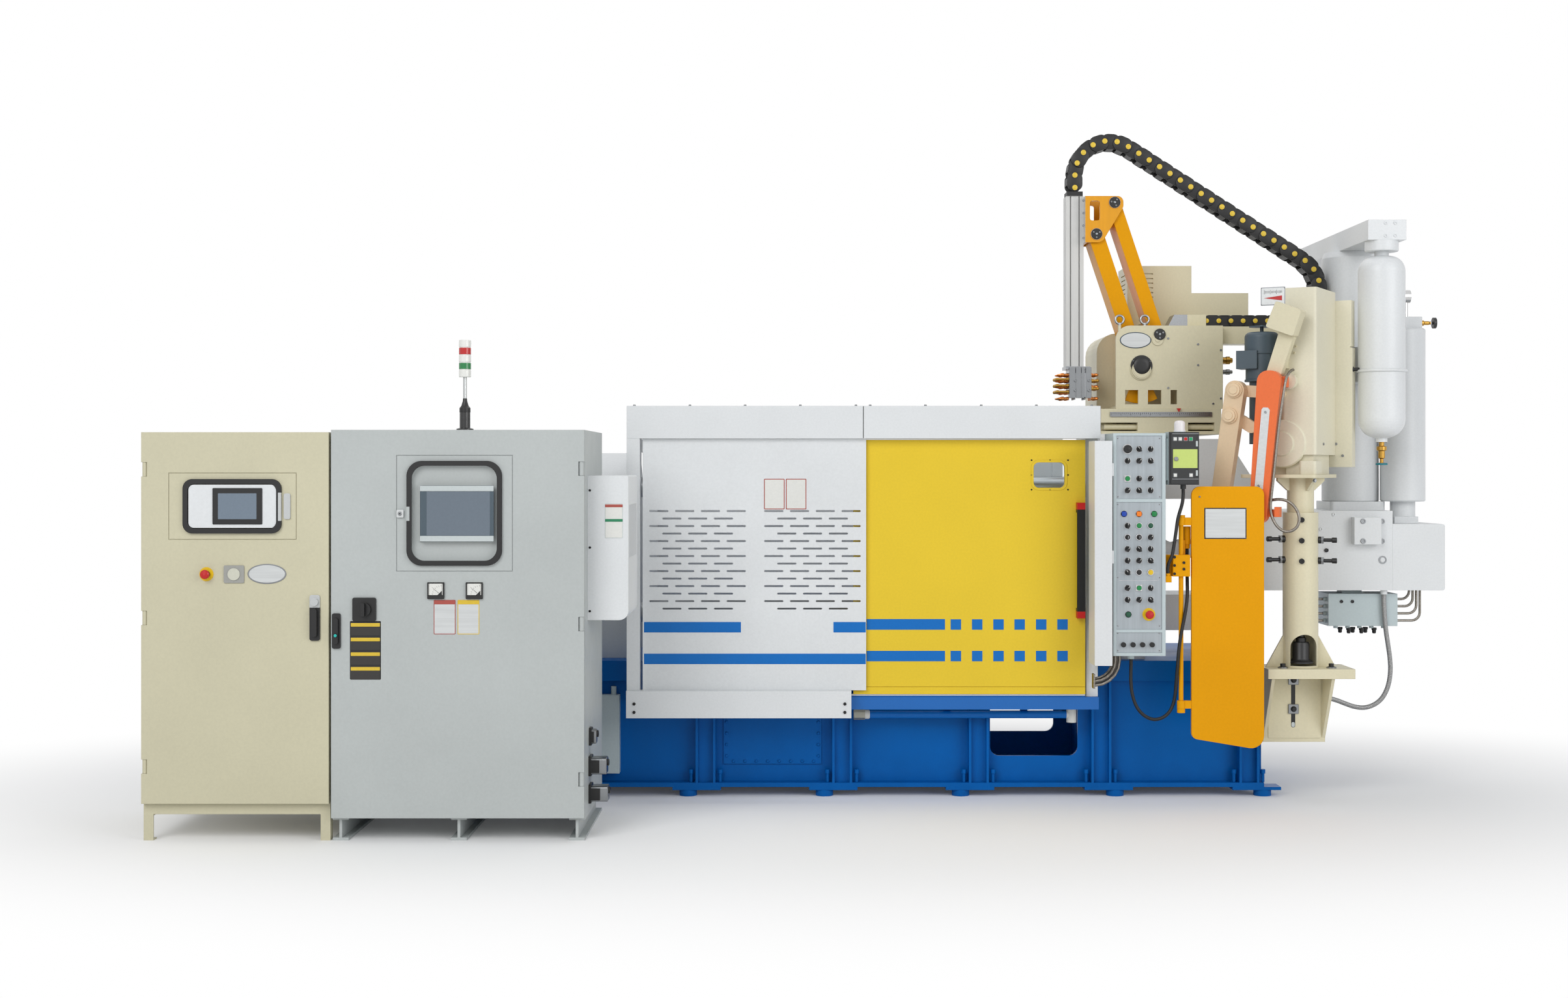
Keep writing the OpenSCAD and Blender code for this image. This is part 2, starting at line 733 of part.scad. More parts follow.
module machine_base() {
    color("royalblue") place() difference() {
        union() {
            for (side = [-1, 1]) {
                web = side > 0 ? [base_web_y, base_half_w] : [-base_half_w, -base_web_y];
                block([-base_left, base_right], web, [flange_z1 - eps, base_h]);
                flange = side > 0 ? [base_web_y - rib_out, base_half_w + rib_out]
                    : [-base_half_w - rib_out, -base_web_y + rib_out];
                block([-base_left, base_right], flange, [flange_z0, flange_z1]);
                beam = side > 0 ? [base_half_w - base_beam_w, base_half_w + base_beam_out]
                    : [-base_half_w - base_beam_out, -base_half_w + base_beam_w];
                block([-base_left, base_right], beam, [base_beam_z, base_h]);
                for (i = [0 : len(rib_x) - 1]) {
                    base_post(rib_x[i], side);
                    x = rib_x[i] + foot_shift[i] / 2;
                    y = side * (base_half_w + 10);
                    block([x - foot_plate_l / 2, x + foot_plate_l / 2],
                        [y - foot_plate_half, y + foot_plate_half], [foot_z, flange_z0 + eps]);
                }
            }
            for (x = [-base_left, base_right - base_web])
                block([x, x + base_web], [-base_web_y - eps, base_web_y + eps], [flange_z0, base_h]);
            for (z = [base_h - base_web, flange_z0])
                block([-base_left, base_right], [-base_web_y - eps, base_web_y + eps], [z, z + base_web]);
            for (x = bulkheads)
                block([x, x + base_web], [-base_web_y - eps, base_web_y + eps], [flange_z0, base_h]);
            block([hatch_x, hatch_x + hatch_w], [-base_half_w - hatch_t, -base_half_w + eps],
                [hatch_z, base_beam_z + eps]);
        }
        on_front(base_half_w + rib_out + past) translate([chute_x, chute_z, 0])
            rounded_slab(chute_w, chute_h, chute_r, 2 * (base_half_w + rib_out + past));
        block(deck_hole[0], deck_hole[1], [base_h - base_web - past, base_h + past]);
    }
}

// Feet under the foot plates, and a jack screw on each plate
jack_head = [24, 20];
jack_in = 22;
module levelling_feet() {
    color("royalblue") place() for (side = [-1, 1], i = [0 : len(rib_x) - 1]) {
        translate([rib_x[i] + foot_shift[i], side * foot_y, 0]) cylinder(d = foot_d, h = foot_z);
        for (end = [-1, 1])
            translate([rib_x[i] + end * (rib_pair_w / 2 + jack_in), side * (base_half_w + 36), flange_z1]) {
                cylinder(d = jack_d, h = jack_h - jack_head[1] + eps);
                translate([0, 0, jack_h - jack_head[1]]) cylinder(d = jack_head[0], h = jack_head[1]);
            }
    }
}

// Valve box on the front of the base beside the cabinets
valve_x = -guard_left - 176;
valve_size = [124, 60, 509];
valve_z0 = 112;
module base_junction_box() {
    color("gray") place() {
        block([valve_x, valve_x + valve_size[0]], [-base_half_w - valve_size[1], -base_half_w],
            [valve_z0, valve_z0 + 380]);
        translate([valve_x + valve_size[0] - 30, -base_half_w - valve_size[1] / 2, valve_z0 + 380 - eps])
            cylinder(d = 26, h = 40);
    }
}

// Coolant pipe under the door: union, pipe, tee and riser with a valve, hung from the guard
coolant_x0 = panel_right + 19;
tee_x = guard_right - 119;
tee_h = 126;
hanger_t = 6;
module coolant_pipe() {
    color("royalblue") place() {
        translate([coolant_x0 - 75, -coolant_front, coolant_z]) rotate([0, 90, 0]) {
            cylinder(d = coolant_d * 0.8, h = tee_x - coolant_x0 + 75);
            cylinder(d = coolant_d * 1.42, h = 54, $fn = 6);
            translate([0, 0, 54 - eps]) cylinder(d = coolant_d * 1.16, h = 21);
            translate([0, 0, 75 - eps]) cylinder(d = coolant_d, h = tee_x - coolant_x0);
        }
        translate([tee_x, -coolant_front, coolant_z - coolant_d])
            cylinder(d = coolant_d * 1.25, h = tee_h);
        translate([tee_x - 40, -coolant_front, coolant_z + 52]) rotate([0, 90, 0]) {
            cylinder(d = 26, h = 40);
            translate([0, 0, -8]) cylinder(d = 44, h = 9);
        }
        for (x = [tee_x - 619, tee_x - 246]) {
            block([x, x + 36], [-coolant_front + coolant_d / 2 - 4, -coolant_front + coolant_d / 2 + 4],
                [coolant_z - 4, rail_z - rail_h]);
            block([x, x + 36], [beam_y1 - 20, -coolant_front + coolant_d / 2 + 4],
                [rail_z - rail_h - hanger_t, rail_z - rail_h]);
        }
    }
}

// Closing side: a cover with a round top over the clamping linkage, and its round end cap
module closing_hood() {
    color("whitesmoke") place() {
        block([-base_left + 60, -guard_left], [-hood_r, hood_r], [base_h, hood_z]);
        translate([-base_left + 60, 0, hood_z]) rotate([0, 90, 0])
            cylinder(r = hood_r, h = base_left - 60 - guard_left);
        translate([-base_left + 20, 0, hood_z - 120]) rotate([0, 90, 0]) cylinder(r = hood_cap_r, h = 41);
    }
}

tie_places = [for (y = [-tie_y, tie_y], z = [tie_low_z, tie_high_z]) [y, z]];
tie_x0 = -guard_left;
fixed_x1 = fixed_x + fixed_t;
nut_l = 80;
nut_d = 160;
tie_end = 10;
module tie_bars() {
    color("silver") place() for (p = tie_places) translate([tie_x0, p[0], p[1]]) rotate([0, 90, 0]) {
        cylinder(d = tie_d, h = fixed_x1 + nut_l + tie_end - tie_x0);
        translate([0, 0, fixed_x1 - tie_x0]) cylinder(d = nut_d, h = nut_l);
    }
}

module tie_bores(x0, x1) {
    for (p = tie_places) translate([x0, p[0], p[1]]) rotate([0, 90, 0])
        cylinder(d = tie_d + 2 * fit, h = x1 - x0);
}

platen_r = 60;
module platen_outline(low, top) {
    polygon(rounded([[-platen_half_w, low], [platen_half_w, low], [platen_half_w, top],
        [-platen_half_w, top]], [0, 0, platen_r, platen_r]));
}

module fixed_platen() {
    color("whitesmoke") place() difference() {
        along([fixed_x, fixed_x1]) platen_outline(base_h, fixed_top);
        tie_bores(fixed_x - past, fixed_x1 + past);
        translate([fixed_x - past, 0, sleeve_z]) rotate([0, 90, 0])
            cylinder(d = sleeve_bore_d + 2 * fit, h = fixed_t + 2 * past);
    }
}

moving_x = 330;
moving_t = 230;
moving_top = 1640;
shoe_h = 40;
shoe_w = 120;
shoe_out = 60;
module moving_platen() {
    color("whitesmoke") place() difference() {
        union() {
            along([moving_x, moving_x + moving_t]) platen_outline(base_h + shoe_h, moving_top);
            for (y = [-platen_half_w, platen_half_w - shoe_w])
                block([moving_x - shoe_out, moving_x + moving_t + shoe_out], [y, y + shoe_w],
                    [base_h, base_h + shoe_h + eps]);
        }
        tie_bores(moving_x - past, moving_x + moving_t + past);
    }
}

// Guard: posts, side sheets, the door's upper and lower rails
beam_y0 = -guard_front;
beam_y1 = -guard_front + beam_depth;
door_y0 = -guard_front + 50;
panel_y0 = -guard_front + 25;
rail_z = panel_z - 35;
rail_h = 60;
lower_beam_h = 129;
lower_beam_z = [panel_z + 3 - lower_beam_h, panel_z + 3];
lower_beam_x = panel_right - 72;
lower_beam_y = [-guard_front - 30, panel_y0];
side_w = 55;
door_stop_x = guard_right - side_w;
door_end_gap = 65;
guide_y = [door_y0 + 8, door_y0 + 20];
module guard_frame() {
    color("whitesmoke") place() {
        block([-guard_left, -guard_left + post_w], [beam_y0, beam_y1], [lower_beam_z[1], top_beam_z]);
        block([-guard_left, -guard_left + post_w], [panel_y0, beam_y1], [rail_z - eps,
            lower_beam_z[1] + eps]);
        block([door_stop_x, guard_right], [door_y0 + door_t + door_gap, beam_y1], [rail_z - eps, top_beam_z]);
        block([-guard_left, guard_right], [door_y0, beam_y1], [rail_z - rail_h, rail_z]);
        block([-guard_left, lower_beam_x], [panel_y0, door_y0 + eps], [rail_z - rail_h, rail_z]);
        block([-guard_left + post_w, guard_right - door_end_gap], guide_y, [rail_z - eps, door_z - fit]);
        for (x = [-guard_left, door_stop_x]) {
            block([x, x + side_w], [-beam_y1, guard_front], [rail_z - eps, top_beam_z]);
            block([x, x + side_w], [beam_y1 - eps, -beam_y1 + eps], [top_beam_z - rail_h, top_beam_z]);
        }
        block([-guard_left, guard_right], [-beam_y1, guard_front], [rail_z - rail_h, rail_z]);
        for (x = [-guard_left, door_stop_x - 20]) {
            block([x, x + side_w], [base_half_w, -beam_y1 + eps], [rail_z - rail_h, rail_z]);
            block([x, x + side_w], [beam_y1 - eps, -base_half_w], [rail_z - rail_h, rail_z]);
        }
    }
}

beam_split = (guard_right - guard_left) / 2;
beam_seam = 1;
module top_guard_beams() {
    color("white") place() for (y = [beam_y0, -beam_y1], part = [0, 1]) {
        x0 = part == 0 ? -guard_left : beam_split + beam_seam / 2;
        x1 = part == 0 ? beam_split - beam_seam / 2 : guard_right;
        block([x0, x1], [y, y + beam_depth], [top_beam_z, top_beam_z + top_beam_h]);
    }
}

module lower_guard_beam() {
    color("white") place() block([-guard_left, lower_beam_x], lower_beam_y, lower_beam_z);
}

// White panel with two groups of slots, whose rows are staggered
panel_gap = 12;
panel_left = -guard_left + post_w + panel_gap;
slot_in = 32;
slot_group = 548;
slot_stagger = 62;
slots_even = 4;
module slotted_panel() {
    color("white") place() difference() {
        block([panel_left, panel_right], [panel_y0, panel_y0 + panel_t], [panel_z, top_beam_z]);
        for (row = [0 : slot_rows - 1], group = [0, 1], i = [0 : slots_even - 1 - row % 2]) {
            x = panel_left + slot_in + group * slot_group + (row % 2) * slot_stagger + i * slot_pitch;
            z = top_beam_z - slot_top - row * slot_row;
            across([panel_y0 - past, panel_y0 + panel_t + past]) translate([x + slot_w / 2, z])
                soft_rect(slot_w, slot_h, slot_h / 2 - eps);
        }
    }
}

// Sliding door with its window, the frame round it, and a handle on two brackets
door_x0 = panel_right - door_lap;
door_x1 = guard_right - door_end_gap;
door_top = top_beam_z - door_gap;
door_win = [door_x1 - door_win_in - door_win_w / 2, door_top - door_win_down - door_win_h / 2];
door_win_r = 25;
door_strip_h = 36;
door_strip_in = 3;
win_frame_w = 12;
win_frame_t = 2;
handle_x = door_x1 - 26;
handle_z = door_z + 366;
handle_foot = 46;
module sliding_door() {
    color("gold") place() {
        difference() {
            union() {
                block([door_x0, door_x1], [door_y0, door_y0 + door_t], [door_z, door_top]);
                on_front(door_y0 + eps) translate(door_win) linear_extrude(win_frame_t + eps)
                    soft_rect(door_win_w + 2 * win_frame_w, door_win_h + 2 * win_frame_w,
                        door_win_r + win_frame_w);
            }
            on_front(door_y0 + door_t + past) translate(door_win)
                linear_extrude(door_t + win_frame_t + 2 * past) soft_rect(door_win_w, door_win_h, door_win_r);
            block([door_x0 - past, door_x1 + past], [door_y0 - past, door_y0 + door_strip_in],
                [door_z + door_strip_h - 2, door_z + door_strip_h]);
        }
        for (z = [handle_z, handle_z + handle_l - handle_foot])
            block([handle_x - handle_w / 2, handle_x + handle_w / 2], [door_y0 - handle_out, door_y0 + eps],
                [z, z + handle_foot]);
        block([handle_x - handle_w / 2, handle_x + handle_w / 2],
            [door_y0 - handle_out, door_y0 - handle_out + 16],
            [handle_z + handle_foot - eps, handle_z + handle_l - handle_foot + eps]);
    }
}

rear_sheet_in = 40;
module rear_guard() {
    color("white") place() block([-guard_left + side_w, guard_right - side_w],
        [guard_front - rear_sheet_in, guard_front - rear_sheet_in + panel_t], [rail_z, top_beam_z]);
}

// Control box beside the door, on a bracket of the guard
ctl_x0 = guard_right + ctl_gap;
ctl_x1 = ctl_x0 + ctl_w;
ctl_y0 = -ctl_front;
ctl_y1 = ctl_y0 + ctl_d;
ctl_z1 = ctl_z0 + ctl_h;
ctl_arm_z = [ctl_z0 + 430, ctl_z0 + 920];
ctl_recess = 8;
ctl_plate_t = 3;
ctl_plate_x = [ctl_x0 + 15, ctl_x1 - 17];
ctl_plate_z = [[14, 110], [123, 719], [734, 1029]];
box_gland_x = ctl_x0 + 96;
box_gland_y = ctl_y0 + 72;
gland_d = 32;
gland_h = 20;
module control_box() {
    color("gainsboro") place() {
        difference() {
            block([ctl_x0, ctl_x1], [ctl_y0, ctl_y1], [ctl_z0, ctl_z1]);
            for (z = ctl_plate_z)
                block(ctl_plate_x, [ctl_y0 - past, ctl_y0 + ctl_recess], [ctl_z0 + z[0], ctl_z0 + z[1]]);
        }
        block([guard_right, ctl_x0 + eps], [ctl_y1 - 40, beam_y1], ctl_arm_z);
        block([ctl_x0 + 100, ctl_x1 - 60], [ctl_y1 - eps, -platen_half_w], [ctl_z0 + 483, ctl_z0 + 683]);
        translate([box_gland_x, box_gland_y, ctl_z0 - gland_h]) cylinder(d = gland_d, h = gland_h + eps);
    }
}

// Buttons, each a stepped solid on its plate
button_x = [for (i = [-1 : 1]) ctl_x0 + 121 + i * button_pitch];
module knob(w, h, base, out) {
    cylinder(d = base, h = 4);
    translate([0, 0, 4 - eps]) linear_extrude(out) soft_rect(w, h, w / 2 - eps);
}

module button(kind) {
    if (kind == "s") knob(11, 27, bezel_d, 16);
    if (kind == "p") rotate_extrude() polygon([[0, 0], [bezel_d / 2, 0], [bezel_d / 2, 4],
        [bezel_d * 0.38, 7], [bezel_d * 0.38, 11], [0, 12]]);
    if (kind == "b") rotate_extrude() polygon([[0, 0], [23, 0], [23, 3], [20, 3], [19, 20], [17, 22],
        [0, 22]]);
    if (kind == "q") {
        linear_extrude(4) soft_rect(bezel_d, bezel_d, 3);
        translate([0, 0, 4 - eps]) cylinder(d = bezel_d * 0.76, h = 7);
    }
    if (kind == "k") {
        rotate_extrude() polygon([[0, 0], [bezel_d / 2, 0], [bezel_d / 2, 4], [9, 6], [9, 12], [0, 12]]);
        translate([0, 0, 12 - eps]) linear_extrude(16) square([3, 11], center = true);
    }
}

button_rows = [[967, "bss"], [912, "sss"], [829, "qss"], [774, "sss"], [609, "spp"], [555, "kks"],
    [500, "sss"], [446, "sss"], [391, "spp"], [318, "sqs"], [263, "sss"]];
wide_row = 664;
wide_x = [-70, 0, 71];
last_row = 194;
knob_row = 53;
knob_pitch = 44.7;
module control_panels() {
    y = ctl_y0 + ctl_recess - ctl_plate_t;
    color("darkgray") place() {
        for (z = ctl_plate_z)
            block(ctl_plate_x, [y, ctl_y0 + ctl_recess], [ctl_z0 + z[0], ctl_z0 + z[1]]);
        on_front(y + eps) {
            for (row = button_rows, i = [0 : 2]) translate([button_x[i], ctl_z0 + row[0]]) button(row[1][i]);
            for (x = wide_x) translate([button_x[1] + x, ctl_z0 + wide_row]) button("p");
            translate([button_x[0] + 4, ctl_z0 + last_row]) button("p");
            for (i = [0 : 3]) translate([ctl_x0 + 47 + i * knob_pitch, ctl_z0 + knob_row])
                cylinder(d = 24, h = 16);
        }
        stop_button([button_x[2] - 8, ctl_z0 + last_row], y + eps, stop_d);
    }
}

shield_x = [guard_right - 58, ctl_x0 - 9];
shield_y = ctl_y0 - 30;
shield_t = 10;
shield_z = [ctl_z0 - 43, ctl_z1 - 36];
module control_shield() {
    color("whitesmoke") place() {
        block(shield_x, [shield_y, shield_y + shield_t], shield_z);
        block([shield_x[0], shield_x[0] + shield_t], [shield_y, beam_y0 - shield_t], shield_z);
        for (z = [ctl_z0 + 433, ctl_z1 - 200])
            block([shield_x[0] + shield_t - eps, ctl_x0], [shield_y + shield_t - eps, ctl_y0 + 20],
                [z, z + 60]);
    }
}

// Small pilot box with its beacon and cable gland
pilot_x0 = ctl_x1 + 14;
pilot_x1 = pilot_x0 + pilot_w;
pilot_z1 = ctl_z1 + 6;
pilot_z0 = pilot_z1 - pilot_h;
beacon_x = pilot_x0 + 61;
pilot_gland_x = pilot_x0 + 77;
rod_y = ctl_y0 + 50;
module pilot_box() {
    color("dimgray") place() {
        block([pilot_x0, pilot_x1], [ctl_y0, ctl_y0 + pilot_d], [pilot_z0, pilot_z1]);
        block([pilot_x0 + 10, pilot_x1 - 12], [ctl_y0 - 5, ctl_y0 + eps], [pilot_z0 + 4, pilot_z1 - 4]);
        block([ctl_x1, pilot_x0 + eps], [ctl_y0 + 20, ctl_y0 + pilot_d - 10], [pilot_z0 + 20, pilot_z1 - 30]);
        translate([beacon_x, rod_y, pilot_z1 - eps]) rotate_extrude() polygon([[0, 0], [28, 0], [28, 8],
            [25, 8], [25, 42], [22, 50], [14, 54], [0, 55]]);
        translate([pilot_gland_x, rod_y - 5, pilot_z0 - gland_h]) cylinder(d = 26, h = gland_h + eps);
    }
}

// Rod of the loading gate, its clamp on the control box and the switch behind it
rod_x = ctl_x1 + rod_out;
gate_x0 = rod_x + gate_in;
gate_x1 = gate_x0 + gate_w;
lug_h = 37;
lug_z = [gate_low + 140, gate_top - 183];
rod_end = [lug_z[0] - 20, lug_z[1] + lug_h + 11];
nut_gap = 0.3;
clamp_z = [ctl_z0 + 370, ctl_z0 + 471];
clamp_x = [rod_x - 42, rod_x + 38];
switch_x = rod_x + 36;
switch_y = rod_y + 38;
switch_z = clamp_z[1] + 48;
switch_d = 34;
elbow_z = clamp_z[0] - 27;
elbow_y = [ctl_y0 + 10, ctl_y0 + 40];
module gate_rod() {
    color("gold") place() {
        translate([rod_x, rod_y, rod_end[0]]) cylinder(d = rod_d, h = rod_end[1] - rod_end[0]);
        translate([rod_x, rod_y, rod_end[0]]) cylinder(d = rod_d * 1.7, h = lug_z[0] - nut_gap - rod_end[0]);
        translate([rod_x, rod_y, lug_z[1] + lug_h + nut_gap])
            cylinder(d = rod_d * 1.7, h = rod_end[1] - lug_z[1] - lug_h - nut_gap);
        block(clamp_x, [rod_y - 25, rod_y + 25], clamp_z);
        block([ctl_x1, clamp_x[0] + eps], [rod_y + 10, rod_y + 24], clamp_z);
        block([switch_x - 30, switch_x - 12], [rod_y + 20, switch_y + 4], [clamp_z[1] - 30, switch_z + 20]);
        translate([switch_x, switch_y, switch_z]) cylinder(d = switch_d, h = 84);
        translate([switch_x, switch_y, switch_z - gland_h]) cylinder(d = 26, h = gland_h + eps);
        block([ctl_x1, ctl_x1 + 30], elbow_y, [elbow_z, elbow_z + 30]);
        translate([ctl_x1 + 15, (elbow_y[0] + elbow_y[1]) / 2, elbow_z + 30 - eps]) cylinder(d = 24, h = 12);
    }
}

// Gate: a folded pan with round corners on two lugs
gate_r = [30, 60, 40, 40];
function gate_outline(in) = rounded([[gate_x0 + in, gate_low + in], [gate_x1 - in, gate_low - gate_fall + in],
    [gate_x1 - in, gate_top - in], [gate_x0 + in, gate_top - in]], [for (r = gate_r) r - in]);
module ladle_gate() {
    y = [rod_y - gate_t / 2, rod_y + gate_t / 2];
    color("orange") place() difference() {
        union() {
            across(y) polygon(gate_outline(0));
            for (z = lug_z) {
                translate([rod_x, rod_y, z]) cylinder(d = rod_d * 1.75, h = lug_h);
                block([rod_x, gate_x0 + 30], [rod_y - gate_t / 2 + 2, rod_y + gate_t / 2 - 2], [z,
                    z + lug_h]);
            }
        }
        difference() {
            across([y[0] + gate_sheet, y[1] + past]) polygon(gate_outline(gate_sheet));
            for (z = lug_z) block([rod_x, gate_x0 + 30], y, [z, z + lug_h]);
        }
        translate([rod_x, rod_y, lug_z[0] - past])
            cylinder(d = rod_d + 2 * fit, h = lug_z[1] + lug_h + 2 * past - lug_z[0]);
    }
}

// Frame that carries the injection unit on the fixed platen, with the shot sleeve
inj_x0 = fixed_x1 + cframe_l;
inj_x1 = inj_x0 + inj_l;
inj_z1 = inj_low + inj_h;
cf_low = inj_low - 206;
cf_top = fixed_top - 23;
cf_shoulder = inj_z1 + 110;
mouth_x = [fixed_x1 + 80, inj_x0 - 100];
mouth_z = [inj_low - 27, inj_z1 + 58];
sleeve_z = inj_low + 198;
pour_hole = [mouth_x[0] + 130, 70];
module c_frame() {
    color("white") place() {
        across([-cframe_half, cframe_half]) difference() {
            polygon(rounded([[fixed_x1, cf_low], [inj_x0, cf_low], [inj_x0, cf_shoulder],
                [inj_x0 - 160, cf_top], [fixed_x1, cf_top]], [0, 30, 60, 90, 0]));
            polygon(rounded([[mouth_x[0], mouth_z[0]], [mouth_x[1], mouth_z[0]], [mouth_x[1],
                mouth_z[1] - 95],
                [mouth_x[1] - 90, mouth_z[1]], [mouth_x[0], mouth_z[1]]], [50, 50, 50, 50, 50]));
        }
        difference() {
            translate([mouth_x[0] - eps, 0, sleeve_z]) rotate([0, 90, 0])
                cylinder(d = sleeve_bore_d, h = mouth_x[1] - mouth_x[0] + 2 * eps);
            translate([pour_hole[0], 0, sleeve_z]) cylinder(d = pour_hole[1], h = sleeve_bore_d);
        }
        translate([mouth_x[1] - 60, 0, sleeve_z]) rotate([0, 90, 0])
            cylinder(d = sleeve_bore_d * 1.5, h = 60 + eps);
        block([fixed_x1, fixed_x1 + 280], [-cframe_half, cframe_half], [cf_top - eps, fixed_top]);
    }
}

acc_x = inj_x1 - 121;
acc_y = 60;
acc_flange = 280;
acc_flange_t = 43;
acc_z0 = inj_z1 + acc_flange_t;
inj_face = -inj_half;
valve_block_z = [inj_low + 231, inj_low + 366];
module injection_block() {
    color("white") place() {
        block([inj_x0, inj_x1], [inj_face, inj_half], [inj_low, inj_z1]);
        block([inj_x1 - 205, inj_x1 - 71], [inj_face - 50, inj_face + eps], valve_block_z);
        translate([acc_x, acc_y, inj_z1 - eps]) linear_extrude(acc_flange_t + eps)
            soft_rect(acc_flange, acc_flange, 20);
        translate([inj_x1 - 34, inj_face + 32, inj_low - 22]) cylinder(d = 34, h = 22 + eps);
    }
}

cover_x1 = inj_x1 + cover_l;
module injection_cover() {
    color("gainsboro") place() across([inj_face, inj_half]) polygon(rounded([[inj_x1, inj_low],
        [cover_x1, inj_low], [cover_x1, inj_low + cover_h], [inj_x1, inj_low + cover_h]], [0, 12, 12, 0]));
}

module rear_accumulator() {
    color("white") place() translate([acc_x, acc_y, acc_z0]) rotate_extrude() polygon([[0, 0],
        [acc_d / 2 - 4, 0], [acc_d / 2, 4], [acc_d / 2, manifold_z - acc_z0 - 30],
        [acc_d / 2 - 12, manifold_z - acc_z0], [0, manifold_z - acc_z0]]);
}

// Arc of a profile, from one angle to another
profile_steps = 8;
function profile_arc(c, r, a0, a1) = [for (i = [0 : profile_steps])
    c + [r[0] * cos(a0 + (a1 - a0) * i / profile_steps), r[1] * sin(a0 + (a1 - a0) * i / profile_steps)]];

// Gas bottle with its valve below, held to the rear accumulator by a channel and a round band
bottle_x = acc_x + 4;
bottle_y = -450;
bottle_r = bottle_d / 2;
bottle_z = [inj_z1 + 358, manifold_z - 51];
bottle_top = bottle_z[1];
valve_top = bottle_z[0] - 18;
valve_bottom = valve_top - 112;
band_z = bottle_z[0] + 329;
band_d = 14;
channel_z = [band_z - 48, band_z + 124];
channel_x = [bottle_x - 136, bottle_x + 60];
channel_t = 6;
module front_bottle() {
    back = bottle_y + bottle_r;
    color("white") place() difference() {
        union() {
            translate([bottle_x, bottle_y, 0]) rotate_extrude() polygon(concat(
                [[0, valve_bottom], [29, valve_bottom], [29, valve_bottom + 9], [9, valve_bottom + 12],
                    [9, valve_bottom + 30], [16, valve_bottom + 34], [16, valve_top - 44], [24,
                        valve_top - 40],
                    [24, valve_top - 22], [13, valve_top - 18], [13, valve_top], [27, valve_top],
                    [27, bottle_z[0]]],
                profile_arc([bottle_r - 84, bottle_z[0] + 96], [84, 92], -72, 0),
                [[bottle_r, band_z - band_d / 2]],
                profile_arc([bottle_r + 3, band_z], [band_d / 2, band_d / 2], -90, 90),
                [[bottle_r, band_z + band_d / 2]],
                profile_arc([bottle_r - 66, bottle_top - 100], [66, 76], 0, 80),
                [[34, bottle_top - 20], [34, bottle_top], [76, bottle_top], [80, bottle_top + 4],
                    [80, manifold_z], [0, manifold_z]]));
            block(channel_x, [back - 4, back + 4], channel_z);
            for (z = [channel_z[0], channel_z[1] - channel_t])
                block(channel_x, [back, acc_y], [z, z + channel_t]);
        }
        translate([acc_x, acc_y, channel_z[0] - past])
            cylinder(d = acc_d + 2 * fit, h = channel_z[1] - channel_z[0] + 2 * past);
    }
}

side_x = inj_x1 + 114;
side_y = -50;
side_z0 = inj_low + cover_h;
side_base = 34;
side_neck = 76;
module side_accumulator() {
    z1 = side_base + side_neck;
    z2 = z1 + side_h;
    color("white") place() translate([side_x, side_y, side_z0]) {
        translate([-60, -60, 0]) cube([120, 120, side_base]);
        translate([0, 0, side_base - eps]) rotate_extrude() polygon([[0, 0], [62, 0], [62, side_neck],
            [side_d / 2 - 6, side_neck], [side_d / 2, side_neck + 6], [side_d / 2, side_neck + side_h - 8],
            [side_d / 2 - 8, side_neck + side_h], [0, side_neck + side_h]]);
        translate([-100, -60, z2 - eps]) cube([180, 120, 58]);
        translate([80 - eps, 0, z2 + 30]) rotate([0, 90, 0]) rotate_extrude() polygon([[0, 0], [14, 0],
            [14, 26], [10, 30], [10, 52], [8, 56], [8, 72], [28, 74], [28, 88], [0, 90]]);
        translate([15, 0, z2 + 58 - eps]) cylinder(d = 24, h = 80);
        translate([-5, 0, z2 + 165]) rotate([0, 90, 0]) cylinder(d = 66, h = 40);
    }
}

manifold_x = [acc_x - 83, acc_x + 102];
module manifold_beam() {
    color("white") place() block(manifold_x, [bottle_y - 70, layout_y + 380], [manifold_z, manifold_z + 97]);
}

// Junction box that hangs under the injection block
hang_x = [inj_x1 - 306, inj_x1 + 40];
hang_y = [-200, 0];
hang_z = [inj_low - 182, inj_low - 20];
hang_glands = 4;
hang_gland_d = 22;
hang_gland_h = 14;
hang_pitch = 36;
low_glands = 5;
low_pitch = 60;
module hydraulic_box() {
    color("lightsteelblue") place() {
        block(hang_x, hang_y, hang_z);
        block([hang_x[0] + 82, hang_x[0] + 182], [hang_y[0] + 50, hang_y[1] - 60], [hang_z[1] - eps,
            inj_low]);
        for (i = [0 : hang_glands - 1], side = [-1, 1])
            translate([side < 0 ? hang_x[0] - hang_gland_h : hang_x[1] - eps, hang_y[0] + 50,
                hang_z[0] + 24 + i * hang_pitch]) rotate([0, 90, 0])
                cylinder(d = hang_gland_d, h = hang_gland_h + eps);
        for (i = [0 : low_glands - 1])
            translate([hang_x[0] + 50 + i * low_pitch, hang_y[0] + 50, hang_z[0] - hang_gland_h])
                cylinder(d = hang_gland_d, h = hang_gland_h + eps);
    }
}

